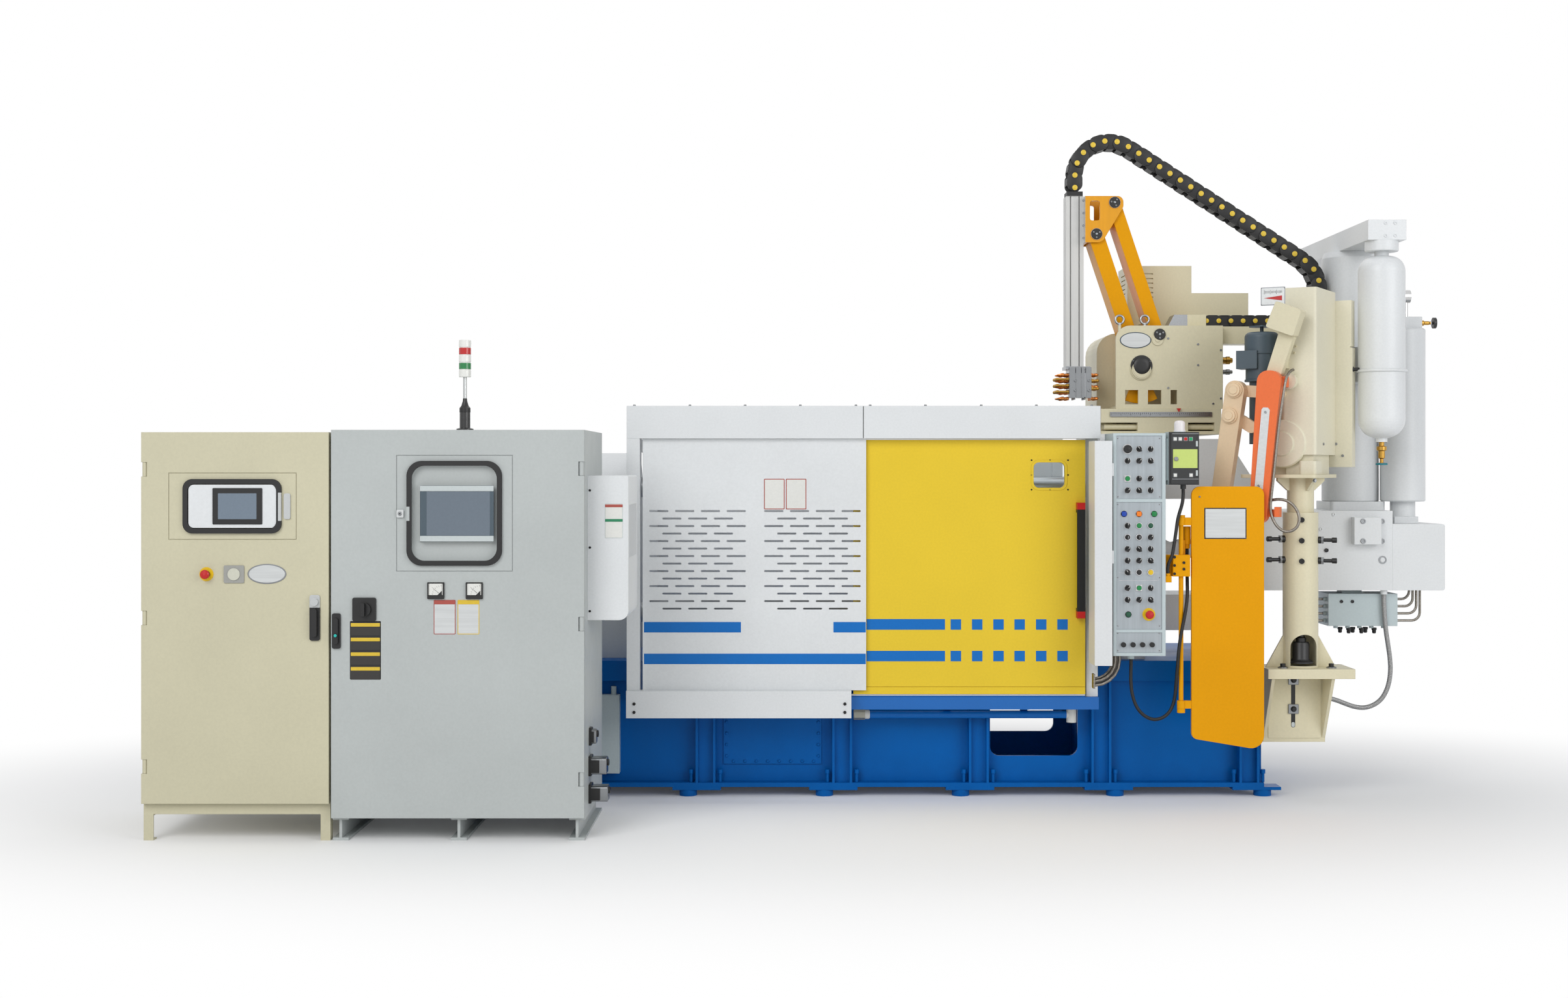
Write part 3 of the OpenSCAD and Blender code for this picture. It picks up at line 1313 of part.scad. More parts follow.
// Held conduits: a bundle under the control box and loops beside the junction box
bundle_d = 14;
bundle_n = 4;
bundle_x = ctl_x0 + 40;
bundle_end_x = shield_x[0] + 14;
bundle_z = ctl_z0 - 27;
loop_d = 13;
loop_r = 40;
bend_steps = 5;
conduit_gap = 0.3;
function bend(c, r, a0, a1) = [for (i = [0 : bend_steps]) let (a = a0 + (a1 - a0) * i / bend_steps)
    [c[0] + r * cos(a), c[1], c[2] + r * sin(a)]];
module metal_conduits() {
    color("silver") place() {
        for (i = [0 : bundle_n - 1]) {
            x = bundle_x - i * 10;
            r = x - bundle_end_x;
            y = ctl_y0 + 60 + (i % 2) * 16;
            cord(concat([[x, y, ctl_z0 - conduit_gap]], bend([x - r, y, bundle_z], r, 0, -90)), bundle_d);
        }
        block([bundle_end_x - 8, bundle_end_x + eps], [ctl_y0 + 44, ctl_y0 + 96],
            [bundle_z - bundle_x + bundle_end_x - 14, bundle_z - bundle_x + bundle_end_x + 54]);
        for (i = [0 : hang_glands - 1]) {
            run = 20 + (hang_glands - 1 - i) * 18;
            y = hang_y[0] + 50;
            z = hang_z[0] + 24 + i * hang_pitch;
            right = hang_x[1] + hang_gland_h + conduit_gap;
            left = hang_x[0] - hang_gland_h - conduit_gap;
            cord(concat([[right, y, z]], bend([right + run, y, z + loop_r], loop_r, -90, 0),
                [[right + run + loop_r, y, inj_low - conduit_gap]]), loop_d);
            cord(concat([[left, y, z]], bend([left - run, y, z + loop_r], loop_r, 270, 180),
                [[left - run - loop_r, y, inj_low - conduit_gap]]), loop_d);
        }
    }
}

// Ladler pedestal on a bracket of the base
ped_x = base_right + ped_out;
ped_y = -ped_front;
ped_z = base_h - 13;
ped_plate_t = 46;
ped_plate_x = [ped_x - 184, ped_x + 228];
ped_plate_y = [ped_y - 120, ped_y + 120];
ped_web_x = [ped_x - 164, ped_x + 135];
ped_web_z = ped_z - 369;
ped_web_y = ped_plate_y[0] + 180;
ped_web_t = 20;
gusset_t = 15;
module pedestal_bracket() {
    z = ped_z - ped_plate_t;
    color("ivory") place() {
        block(ped_plate_x, ped_plate_y, [z, ped_z]);
        difference() {
            block(ped_web_x, [ped_web_y, ped_web_y + ped_web_t], [ped_web_z, z + eps]);
            for (x = [ped_web_x[0] + 70, ped_web_x[1] - 70]) on_front(ped_web_y + ped_web_t + past)
                translate([x, z - 130]) linear_extrude(ped_web_t + 2 * past) soft_rect(26, 120, 12);
        }
        for (x = [ped_web_x[0], ped_web_x[1] - gusset_t]) along([x, x + gusset_t])
            polygon([[ped_plate_y[0] + 10, z + eps], [ped_web_y + eps, z + eps],
                [ped_web_y + eps, ped_web_z + 20]]);
        block([base_right, base_right + ped_web_t], [ped_web_y + ped_web_t - eps, -100], [ped_web_z,
            z + eps]);
    }
}

sleeve_top = ped_z + sleeve_h;
plate_z = sleeve_top + pipe_h;
window_r = 62;
window_h = 150;
rib_count = 4;
module pedestal_column() {
    color("ivory") place() translate([ped_x, ped_y, 0]) {
        difference() {
            translate([0, 0, ped_z]) cylinder(d = sleeve_d, h = sleeve_h);
            translate([0, 0, ped_z + 8]) cylinder(d = sleeve_d - 24, h = window_h + 30);
            on_front(0) translate([0, ped_z + 10]) linear_extrude(sleeve_d) {
                translate([-window_r, 0]) square([2 * window_r, window_h - window_r]);
                translate([0, window_h - window_r]) circle(window_r);
            }
        }
        translate([0, 0, sleeve_top - eps]) cylinder(d = pipe_d, h = pipe_h + eps);
        for (a = [0, 90, 180]) rotate([0, 0, a]) across([-7, 7])
            polygon([[sleeve_d / 2 - 4, ped_z], [sleeve_d / 2 + 84, ped_z], [sleeve_d / 2 - 4, ped_z + 160]]);
        for (i = [0 : rib_count - 1]) rotate([0, 0, turn + 45 + i * 90]) across([-8, 8])
            polygon([[pipe_d / 2 - 4, plate_z], [pipe_d / 2 - 4, plate_z - 60], [pipe_d / 2 + 8,
                plate_z - 60],
                [pipe_d / 2 + 62, plate_z - 14], [pipe_d / 2 + 62, plate_z]]);
    }
}

// Ladler, turned on its pedestal
turn = -30;
plate_t = 17;
ladler_z0 = plate_z + plate_t;
ladler_z1 = ladler_z0 + ladler_h;
ladler_x1 = 99;
ladler_x0 = ladler_x1 - ladler_w;
ladler_y = [-90, 269];
module ladler_place() {
    place() translate([ped_x, ped_y, 0]) rotate([0, 0, turn]) children();
}

module ladler_plate() {
    color("ivory") ladler_place() translate([0, 0, plate_z]) linear_extrude(plate_t)
        polygon(rounded([[-250, -150], [113, -150], [113, 250], [-250, 250]], [20, 20, 20, 20]));
}

foot_top = ladler_z0 + 93;
gear_d = 230;
gear_z = ladler_z0 + 146;
boss_z = ladler_z0 + 443;
boss_out = 40;
module ladler_housing() {
    color("ivory") ladler_place() {
        translate([0, 0, foot_top]) linear_extrude(ladler_z1 - foot_top) polygon(rounded(
            [[ladler_x0, ladler_y[0]], [ladler_x1, ladler_y[0]], [ladler_x1, ladler_y[1]],
                [ladler_x0, ladler_y[1]]], [16, 16, 4, 4]));
        block([-50, 80], [-70, 220], [ladler_z0, foot_top + eps]);
        translate([0, 0, ladler_z0]) linear_extrude(64)
            polygon(rounded([[20, -104], [101, -104], [101, 0], [20, 0]], [14, 14, 0, 0]));
        block([20, 180], [ladler_y[1] - eps, ladler_y[1] + 61], [ladler_z0 + 35, ladler_z0 + 617]);
        block([20, 176], [ladler_y[1] - eps, ladler_y[1] + 61], [ladler_z0 + 623, ladler_z1 - 40]);
        block([20, 170], [ladler_y[1] - eps, ladler_y[1] + 40], [ladler_z0 + 600, ladler_z0 + 640]);
        on_front(-60) translate([-64, gear_z]) rotate_extrude() polygon([[0, 0], [gear_d / 2, 0],
            [gear_d / 2, 30], [gear_d / 2 - 6, 38], [60, 38], [56, 48], [0, 48]]);
        block([-190, 0], [-60 - eps, 60], [ladler_z0, gear_z]);
        across([-60, 60]) polygon([[-104, gear_z - eps], [ladler_x0 + eps, gear_z - eps],
            [ladler_x0 + eps, boss_z + 110], [-98, boss_z + 60]]);
        on_front(ladler_y[0] + eps) translate([-24, boss_z]) cylinder(d = 76, h = boss_out + eps);
        block([ladler_x0 - 60, ladler_x0 + 10], [ladler_y[0] + 4, ladler_y[0] + 12],
            [ladler_z1 - 76, ladler_z1 - 40]);
        block([ladler_x0 - 96, ladler_x0 + 12], [ladler_y[0], ladler_y[0] + 4 + eps],
            [ladler_z1 - 80, ladler_z1 + 4]);
    }
}

motor_x = -188;
motor_y = 3;
motor_z = ladler_z0 + 448;
module ladler_motor() {
    r = motor_d / 2;
    color("slategray") ladler_place() translate([motor_x, motor_y, 0]) {
        translate([0, 0, gear_z + eps]) cylinder(d = motor_d * 0.72, h = motor_z - gear_z);
        translate([0, 0, motor_z]) rotate_extrude() polygon(concat(
            [[0, 0], [r, 0], [r, 10], [r - 5, 12], [r - 5, motor_h * 0.55], [r, motor_h * 0.55 + 2]],
            profile_arc([r - 26, motor_h - 26], [26, 26], 0, 90),
            [[9, motor_h], [9, motor_h + 24], [60, motor_h + 24], [60, motor_h + 29], [6, motor_h + 29],
                [6, motor_h + 36], [0, motor_h + 36]]));
        block([-98, 4], [-r - 14, 0], [motor_z + 60, motor_z + 148]);
    }
}

// Lever with its two bosses
lever_y = [-180, -120];
lever_pins = [[-267, ladler_z0 + 403], [-290, ladler_z0 + 281]];
lever_w = 92;
lever_end = [-378, ladler_z0 - 365];
link_y = [lever_y[1] - eps, ladler_y[0] - fit];
bar_steps = 16;
function half_turn(c, r, a0) = [for (i = [0 : bar_steps]) let (a = a0 + 180 * i / bar_steps)
    [c + r * cos(a), r * sin(a)]];
module bar_outline(a, b, w0, w1) {
    d = b - a;
    translate(a) rotate(atan2(d[1], d[0]))
        polygon(concat(half_turn(norm(d), w1 / 2, -90), half_turn(0, w0 / 2, 90)));
}

module ladler_lever() {
    color("antiquewhite") ladler_place() {
        across(lever_y) bar_outline(lever_pins[0], lever_end, lever_w, lever_w - 10);
        for (p = lever_pins) {
            discs(p, lever_y[0] + eps, [[76, 10], [62, 22], [40, 26]]);
        }
        across(link_y) bar_outline(lever_pins[0], [-70, boss_z - 56], 56, 56);
        across(link_y) bar_outline(lever_pins[1], [-205, gear_z + 80], 56, 56);
    }
}

arm_y = [-240, -190];
module ladler_arm() {
    color("orangered") ladler_place() {
        across(arm_y) polygon(rounded([[-182, ladler_z0 - 230], [-99, ladler_z0 - 230], [-22,
            ladler_z0 + 490],
            [-139, ladler_z0 + 490]], [36, 36, 52, 52]));
        block([-110, -20], [arm_y[1] - eps, ladler_y[0] - boss_out - fit], [boss_z - 30, boss_z + 20 - fit]);
        block([-60, -36], [arm_y[0] + 6, arm_y[1] - 6], [ladler_z0 - 200, ladler_z0 - 153]);
        block([-104, -60 + eps], [arm_y[0] + 24, arm_y[1] - 6], [ladler_z0 - 200, ladler_z0 - 165]);
    }
}

module ladler_drive() {
    color("ivory") ladler_place() {
        across([arm_y[1] + eps, arm_y[1] + 50]) polygon(rounded([[-118, boss_z + 20], [-44, boss_z + 20],
            [32, ladler_z0 + 685], [-42, ladler_z0 + 700]], [24, 24, 0, 0]));
        across([arm_y[0], arm_y[1] + 35]) polygon(rounded([[-101, ladler_z0 + 696], [29, ladler_z0 + 646],
            [69, ladler_z0 + 766], [-51, ladler_z0 + 816]], [10, 10, 10, 10]));
        block([-60, -30], [arm_y[1] + 40, ladler_y[0]], [boss_z + 60, boss_z + 110]);
    }
}

// Spray robot on top of the fixed platen
saddle_x = [fixed_x + 49, fixed_x1 + 445];
saddle_y = [-130, 400];
saddle_z = [fixed_top, fixed_top + saddle_h];
saddle_base = 17;
saddle_gap = 43;
saddle_open = [185, 490, 573];
guide_d = 30;
module sprayer_saddle() {
    slot_z = [saddle_z[0] + saddle_base, saddle_z[0] + saddle_base + saddle_gap];
    color("ivory") place() {
        difference() {
            block([saddle_x[0], saddle_x[1] - 9], saddle_y, saddle_z);
            for (x = [[-past, saddle_open[0]], [saddle_open[1] - 50, saddle_open[2]]])
                block([saddle_x[0] + x[0], saddle_x[0] + x[1]], [saddle_y[0] - past,
                    saddle_y[0] + 150], slot_z);
        }
        for (y = [saddle_y[0] + 35, saddle_y[0] + 95])
            translate([saddle_x[0] + 20, y, slot_z[0] + saddle_gap / 2]) rotate([0, 90, 0])
                cylinder(d = guide_d, h = saddle_open[2] - 20 + eps);
        block([saddle_x[0], saddle_x[1]], [saddle_y[0] - 6, saddle_y[0] + 20], [saddle_z[0],
            saddle_z[0] + 12]);
    }
}

housing_z0 = saddle_z[1];
housing_z1 = housing_z0 + spray_h;
cheek_x = [saddle_x[0] + 76, saddle_x[1] + 1];
cheek_y = [-arm_half - 45, arm_half + 20];
housing_y = 480;
cavity_x1 = cheek_x[0] + 335;
top_open_x = cheek_x[0] + 265;
lower_pivot = [cheek_x[0] + 129, housing_z0 + 216];
link_shift = [92, 160];
link_pivot = lower_pivot + link_shift;
head_pivot = lower_pivot + [-arm_reach, arm_rise];
head_link = head_pivot + link_shift;
beam_low = housing_z1 - 89;
beam_half = 60;
chain_end_x = saddle_x[1] + 512;
chain_seat_z = housing_z1 + 124;
window_z = [housing_z0 + 23, housing_z0 + 95];
window_x = [[47, 113], [162, 230], [277, 309]];
cover_y = [cheek_y[1], housing_y];
inside_y = [cheek_y[0] + cheek_t - eps, cheek_y[1] + eps];
module sprayer_housing() {
    color("ivory") place() {
        difference() {
            across([cheek_y[0], cheek_y[0] + cheek_t]) polygon(rounded([[cheek_x[0], housing_z0],
                [cheek_x[1], housing_z0], [cheek_x[1], housing_z1], [cheek_x[0], housing_z1]], [4, 4,
                    0, 71]));
            for (x = window_x) block([cheek_x[0] + x[0], cheek_x[0] + x[1]],
                [cheek_y[0] - past, cheek_y[0] + cheek_t + past], window_z);
        }
        across(cover_y) polygon(rounded([[cheek_x[0] - 61, housing_z0], [cheek_x[1], housing_z0],
            [cheek_x[1], housing_z1 - 24], [cheek_x[0] - 61, housing_z1 - 24]], [4, 4, 0, 100]));
        block([cavity_x1, cheek_x[1]], inside_y, [housing_z0, housing_z1]);
        block([cheek_x[0] + 5, cavity_x1 + eps], inside_y, [housing_z0, housing_z0 + 15]);
        block([top_open_x, cavity_x1 + eps], inside_y, [housing_z1 - 12, housing_z1]);
        block([top_open_x, cheek_x[1]], [cheek_y[1] - eps, housing_y], [housing_z1 - 24 - eps, housing_z1]);
        block([cheek_x[1] - eps, chain_end_x + 20], [-beam_half, beam_half], [beam_low, housing_z1]);
        block([chain_end_x - 40, chain_end_x + 20], [-beam_half + 10, beam_half - 10],
            [housing_z1 - eps, chain_seat_z]);
        for (p = [lower_pivot, link_pivot]) translate([p[0], cheek_y[1] + eps, p[1]]) rotate([90, 0, 0])
            cylinder(d = pivot_d, h = cheek_y[1] - cheek_y[0]);
        discs([cheek_x[0] + 60 + 67, housing_z0 + 198], cheek_y[0] + eps, [[109, 6], [96, 16], [84, 18]]);
        discs([cheek_x[0] + 210, housing_z0 + 349], cheek_y[0] + eps, [[58, 6], [24, 9]]);
        across([-beam_half, beam_half]) polygon([[cheek_x[0] + 276, housing_z1 - eps],
            [short_x0, housing_z1 - eps], [short_x0, housing_z1 + short_chain_h],
            [cheek_x[0] + 308, housing_z1 + short_chain_h]]);
        for (x = [cheek_x[0] + 147, cheek_x[0] + 20]) translate([x, cheek_y[0] + 8, housing_z1 - 30]) {
            cylinder(d = 16, h = 44);
            translate([0, 0, 60]) rotate([90, 0, 0]) rotate_extrude() translate([21, 0]) circle(d = 12);
        }
    }
}

rear_y = [200, 479];
rear_x = [cheek_x[0] + 116, cheek_x[0] + 450];
rear_top = housing_z1 + 336;
rear_low_x = rear_x[1] + 297;
rear_low_top = housing_z1 + 194;
louvre = [75, 6];
louvre_pitch = 24.3;
louvres = 12;
module sprayer_rear_box() {
    color("ivory") place() difference() {
        union() {
            block(rear_x, rear_y, [housing_z1, rear_top]);
            block([rear_x[1] - eps, rear_low_x], [rear_y[0], rear_y[1] - 40], [beam_low + 120, rear_low_top]);
        }
        for (i = [0 : louvres - 1]) {
            z = rear_top - 45 - i * louvre_pitch;
            block([rear_x[0] + 58, rear_x[0] + 58 + louvre[0]], [rear_y[0] - past, rear_y[0] + 8],
                [z, z + louvre[1]]);
            block([rear_x[0] - past, rear_x[0] + 8], [rear_y[0] + 70, rear_y[0] + 190], [z, z + louvre[1]]);
        }
    }
}

// Arms of the parallelogram
module arm_bores(points) {
    for (p = points) translate([p[0], arm_half + past, p[1]]) rotate([90, 0, 0])
        cylinder(d = pivot_d + 2 * fit, h = 2 * arm_half + 2 * past);
}

sector_r = 186;
sector_from = 247;
sector_turn = 52;
sector_steps = 12;
sector_y = [-arm_half + 4, -arm_half + 24];
module spray_main_arm() {
    color("orange") place() difference() {
        union() {
            across([-arm_half, arm_half]) bar_outline(lower_pivot, head_pivot, arm_w, arm_w);
            across(sector_y) polygon(concat([lower_pivot + [0, 30]], [for (i = [0 : sector_steps])
                lower_pivot + sector_r * [cos(sector_from + sector_turn * i / sector_steps),
                    sin(sector_from + sector_turn * i / sector_steps)]]));
        }
        arm_bores([lower_pivot, head_pivot]);
    }
}

module spray_link_arm() {
    color("orange") place() difference() {
        across([-arm_half, arm_half]) bar_outline(link_pivot, head_link, link_w, link_w);
        arm_bores([link_pivot, head_link]);
    }
}

// Column with its bracket
column_x = [head_pivot[0] - 147, head_pivot[0] - 147 + column_w];
column_z = [head_pivot[1] - 669, head_pivot[1] - 669 + column_h];
bracket_t = 12;
bracket_gap = 6;
bracket_low = column_z[1] - 241;
bracket_y = arm_half + bracket_gap;
groove = [14, 6];
module spray_column() {
    x = column_x[1];
    z = column_z[1];
    color("silver") place() {
        difference() {
            block(column_x, [-column_w / 2, column_w / 2], column_z);
            for (side = [-1, 1], shift = [-22 - groove[1] / 2, 22 - groove[1] / 2])
                block([chain_x + shift, chain_x + shift + groove[1]],
                    [side * column_w / 2 - groove[0], side * column_w / 2 + groove[0]],
                    [column_z[0] - past, column_z[1] + past]);
        }
        for (y = [-bracket_y - bracket_t, bracket_y]) difference() {
            across([y, y + bracket_t]) polygon(rounded([[x, z - 6], [x, bracket_low], [x + 86, bracket_low],
                [x + 194, z - 61], [x + 194, z - 6]], [0, 12, 40, 30, 30]));
            across([y - past, y + bracket_t + past]) polygon(rounded([[x + 24, z - 30], [x + 24, z - 130],
                [x + 74, z - 130], [x + 74, z - 30]], [12, 12, 12, 12]));
        }
        block([x - eps, x + bracket_t], [-bracket_y - bracket_t, bracket_y + bracket_t], [bracket_low,
            z - 6]);
        for (p = [head_pivot, head_link]) translate([p[0], bracket_y + bracket_t, p[1]]) rotate([90, 0, 0])
            cylinder(d = pivot_d, h = 2 * (bracket_y + bracket_t));
        for (p = [head_pivot, head_link]) discs(p, -bracket_y - bracket_t + eps, [[58, 6], [20, 9]]);
        block([column_x[0] + 5, x - 5], [-chain_w / 2, chain_w / 2], [z - eps, z + chain_foot]);
    }
}

// Spray head: stacked manifold blocks with rows of nozzles
head_x = [column_x[0] + 14, column_x[0] + 126];
head_z = [column_z[0] - head_h, column_z[0]];
nozzle_y = [-54, -18, 18, 54];
left_rows = [40, 72, 104];
right_rows = [56, 96];
nozzle_d = 12;
module nozzle(l) {
    rotate([0, 90, 0]) rotate_extrude() polygon([[0, 0], [9, 0], [9, 12], [nozzle_d / 2, 12],
        [nozzle_d / 2, l - 16], [8, l - 16], [8, l - 4], [3, l], [0, l]]);
}

module spray_head() {
    color("silver") place() {
        block([column_x[0] - 4, column_x[1] + 30], [-62, 62], [head_z[1] - 16, head_z[1]]);
        block(head_x, [-60, 60], [head_z[0] + 28, head_z[1] - 16 + eps]);
        block([head_x[0] + 18, head_x[1] - 18], [-70, 70], [head_z[0] + 12, head_z[1] - 34]);
        block([head_x[0] + 10, head_x[1] - 10], [-52, 52], [head_z[0] + 12, head_z[0] + 28 + eps]);
        for (y = nozzle_y) {
            for (z = left_rows) translate([head_x[0] + eps, y, head_z[0] + z]) mirror([1, 0, 0]) nozzle(68);
            for (z = right_rows) translate([head_x[1] - eps, y, head_z[0] + z]) nozzle(42);
            for (x = [head_x[0] + 30, head_x[1] - 30])
                translate([x, y * 0.8, head_z[0]]) cylinder(d = 8, h = 12 + eps);
        }
    }
}

// Energy chains: links of two side plates and two crossbars, every other link nested
link_gap = 0.3;
link_side = 6;
bar_half = 14;
module chain_link(pitch, height, width, inner) {
    y_out = width / 2 - (inner ? link_side + link_gap : 0);
    r = height / 2;
    for (y = [-y_out, y_out - link_side]) across([y, y + link_side]) {
        translate([0, -r]) square([pitch, height]);
        circle(r);
        translate([pitch, 0]) circle(r);
    }
    for (z = [-r + 2, r - 7])
        block([pitch / 2 - bar_half, pitch / 2 + bar_half], [-y_out + link_side - eps,
            y_out - link_side + eps],
            [z, z + 5]);
}

chain_foot = 24;
chain_x = (column_x[0] + column_x[1]) / 2;
chain_rise = [column_z[1] + chain_foot, column_z[1] + 107];
top_turn = 90 + chain_slope;
top_centre = [chain_x + chain_r, chain_rise[1]];
slope_start = top_centre + chain_r * [sin(chain_slope), cos(chain_slope)];
slope_end_x = chain_end_x - chain_r * (1 - sin(chain_slope));
slope_len = (slope_end_x - slope_start[0]) / cos(chain_slope);
slope_end = slope_start + slope_len * [cos(chain_slope), -sin(chain_slope)];
end_centre = slope_end - chain_r * [sin(chain_slope), cos(chain_slope)];
rise_len = chain_rise[1] - chain_rise[0];
arc_len = chain_r * top_turn * PI / 180;
end_len = chain_r * (90 - chain_slope) * PI / 180;
drop_len = end_centre[1] - chain_seat_z;
chain_len = rise_len + arc_len + slope_len + end_len + drop_len;
function turned(c, r, a) = c + r * [-cos(a), sin(a)];
function chain_at(s) =
    s < rise_len ? [chain_x, chain_rise[0] + s]
    : s < rise_len + arc_len ? turned(top_centre, chain_r, (s - rise_len) / chain_r * 180 / PI)
    : s < rise_len + arc_len + slope_len
        ? slope_start + (s - rise_len - arc_len) * [cos(chain_slope), -sin(chain_slope)]
    : s < chain_len - drop_len
        ? turned(end_centre, chain_r, top_turn + (s - chain_len + drop_len + end_len) / chain_r * 180 / PI)
    : [chain_end_x, end_centre[1] - (s - chain_len + drop_len)];

chain_first = chain_h / 2;
chain_links = floor((chain_len - chain_h) / chain_pitch);
module long_drag_chain() {
    color("dimgray") place() for (i = [0 : chain_links - 1]) {
        a = chain_at(chain_first + i * chain_pitch);
        b = chain_at(chain_first + (i + 1) * chain_pitch);
        translate([a[0], 0, a[1]]) rotate([0, -atan2(b[1] - a[1], b[0] - a[0]), 0])
            chain_link(norm(b - a), chain_h, chain_w, i % 2 == 1);
    }
}

short_x0 = cheek_x[0] + 470;
short_pitch = 65;
module short_drag_chain() {
    color("dimgray") place() for (i = [0 : short_links - 1])
        translate([short_x0 + short_chain_h / 2 + i * short_pitch, 0, housing_z1 + short_chain_h / 2])
            chain_link(short_pitch, short_chain_h, chain_w, i % 2 == 1);
}

// Cords, each along points chosen by hand
box_hose_d = 17;
box_hose_route = [[1585, -778, 697], [1585, -778, 665], [1584, -778, 625], [1585, -779, 577],
    [1592, -780, 525], [1608, -781, 478], [1630, -782, 445], [1660, -783, 422], [1694, -784, 412],
    [1730, -785, 420], [1760, -786, 443], [1779, -788, 478], [1788, -794, 520], [1791, -804, 570],
    [1793, -814, 620], [1796, -820, 670], [1800, -823, 730], [1807, -824, 790], [1818, -823, 850],
    [1831, -817, 910], [1842, -804, 965], [1848, -788, 1010], [1851, -773, 1050], [1852, -765, 1085],
    [1852, -762, 1120], [1852, -762, 1160], [1852, -762, 1190], [1852, -762, 1216]];
module box_hose() {
    color("black") place() cord(box_hose_route, box_hose_d);
}

pilot_hose_d = 17;
pilot_hose_route = [[1825, -805, 1497], [1825, -805, 1470], [1821, -812, 1440], [1813, -820, 1412],
    [1803, -826, 1384], [1794, -829, 1350], [1788, -831, 1310], [1782, -832, 1270], [1776, -832, 1230],
    [1769, -831, 1190], [1760, -829, 1165], [1753, -827, 1148], [1749, -825, 1126], [1749, -825, 1102]];
module pilot_hose() {
    color("black") place() cord(pilot_hose_route, pilot_hose_d);
}

shot_hose_d = 24;
shot_hose_route = [[2950, -218, 963], [2950, -218, 930], [2952, -218, 880], [2956, -218, 825],
    [2963, -218, 765], [2972, -218, 705], [2980, -218, 645], [2983, -218, 590], [2978, -218, 535],
    [2964, -218, 485], [2938, -217, 440], [2900, -216, 410], [2854, -215, 396], [2806, -214, 400],
    [2760, -213, 415], [2718, -212, 431], [2670, -212, 444], [2615, -212, 450], [2560, -212, 450],
    [2480, -212, 450], [2390, -212, 450], [2301, -212, 450]];
module shot_hose() {
    color("black") place() cord(shot_hose_route, shot_hose_d);
}

arm_conduit_d = 14;
arm_conduit_route = [[2, -134, 2060], [-2, -152, 2056], [-6, -178, 2044], [-10, -205, 2022],
    [-13, -222, 1990], [-18, -229, 1945], [-26, -230, 1895], [-35, -230, 1830], [-45, -230, 1745],
    [-56, -230, 1640], [-66, -230, 1545], [-75, -230, 1465], [-79, -231, 1415], [-72, -232, 1368],
    [-50, -233, 1326], [-18, -234, 1301], [18, -234, 1300], [46, -233, 1320], [56, -231, 1352],
    [50, -228, 1385], [32, -225, 1415], [6, -222, 1436], [-22, -218, 1446], [-46, -213, 1448],
    [-66, -209, 1446], [-85.5, -205, 1443]];
module arm_conduit() {
    color("silver") ladler_place() cord(arm_conduit_route, arm_conduit_d);
}

cream_plinth();
cream_cabinet();
cream_door();
cream_fittings();
grey_skids();
grey_cabinet();
grey_door();
grey_fittings();
air_conditioner();
signal_tower();
machine_base();
levelling_feet();
base_junction_box();
coolant_pipe();
closing_hood();
fixed_platen();
moving_platen();
tie_bars();
guard_frame();
top_guard_beams();
lower_guard_beam();
slotted_panel();
sliding_door();
rear_guard();
control_box();
control_panels();
control_shield();
pilot_box();
gate_rod();
ladle_gate();
c_frame();
injection_block();
injection_cover();
rear_accumulator();
front_bottle();
side_accumulator();
manifold_beam();
hydraulic_box();
pedestal_bracket();
pedestal_column();
ladler_plate();
ladler_housing();
ladler_motor();
ladler_lever();
ladler_arm();
ladler_drive();
sprayer_saddle();
sprayer_housing();
sprayer_rear_box();
spray_main_arm();
spray_link_arm();
spray_column();
spray_head();
long_drag_chain();
short_drag_chain();
box_hose();
pilot_hose();
shot_hose();
arm_conduit();
metal_conduits();
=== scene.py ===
import math

import bmesh
import bpy
from mathutils import Matrix, Vector
from mathutils.bvhtree import BVHTree


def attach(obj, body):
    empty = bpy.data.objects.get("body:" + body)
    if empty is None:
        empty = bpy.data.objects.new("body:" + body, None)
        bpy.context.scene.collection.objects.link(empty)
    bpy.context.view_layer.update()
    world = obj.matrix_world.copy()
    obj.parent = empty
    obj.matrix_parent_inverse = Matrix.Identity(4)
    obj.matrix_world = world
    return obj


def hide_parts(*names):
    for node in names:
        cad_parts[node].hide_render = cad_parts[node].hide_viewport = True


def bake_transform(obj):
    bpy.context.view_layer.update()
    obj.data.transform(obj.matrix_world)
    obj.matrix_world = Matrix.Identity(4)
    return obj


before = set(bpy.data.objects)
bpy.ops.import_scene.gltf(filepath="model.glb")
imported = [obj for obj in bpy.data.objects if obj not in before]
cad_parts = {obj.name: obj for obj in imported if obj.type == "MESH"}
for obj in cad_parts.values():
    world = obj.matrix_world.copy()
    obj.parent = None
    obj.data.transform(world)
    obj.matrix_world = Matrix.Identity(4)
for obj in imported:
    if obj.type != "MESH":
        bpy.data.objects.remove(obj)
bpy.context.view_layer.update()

# The photograph's size, its vanishing point and its focal length, in its own pixels
PHOTO_W, PHOTO_H = 2408, 1533
VANISH_X, VANISH_Y = 1220, 720
FOCAL = 2900
SENSOR = 36.0
# The part's frame against the machine's own datum, in metres
LAYOUT_X, LAYOUT_Y = 0.229, 0.420
CAMERA_DISTANCE, CAMERA_HEIGHT = 9.67, 1.592


def at(x, y, z):
    """A point given in the machine's millimetres, in the part's frame in metres."""
    return Vector((x / 1000 - LAYOUT_X, y / 1000 + LAYOUT_Y, z / 1000))


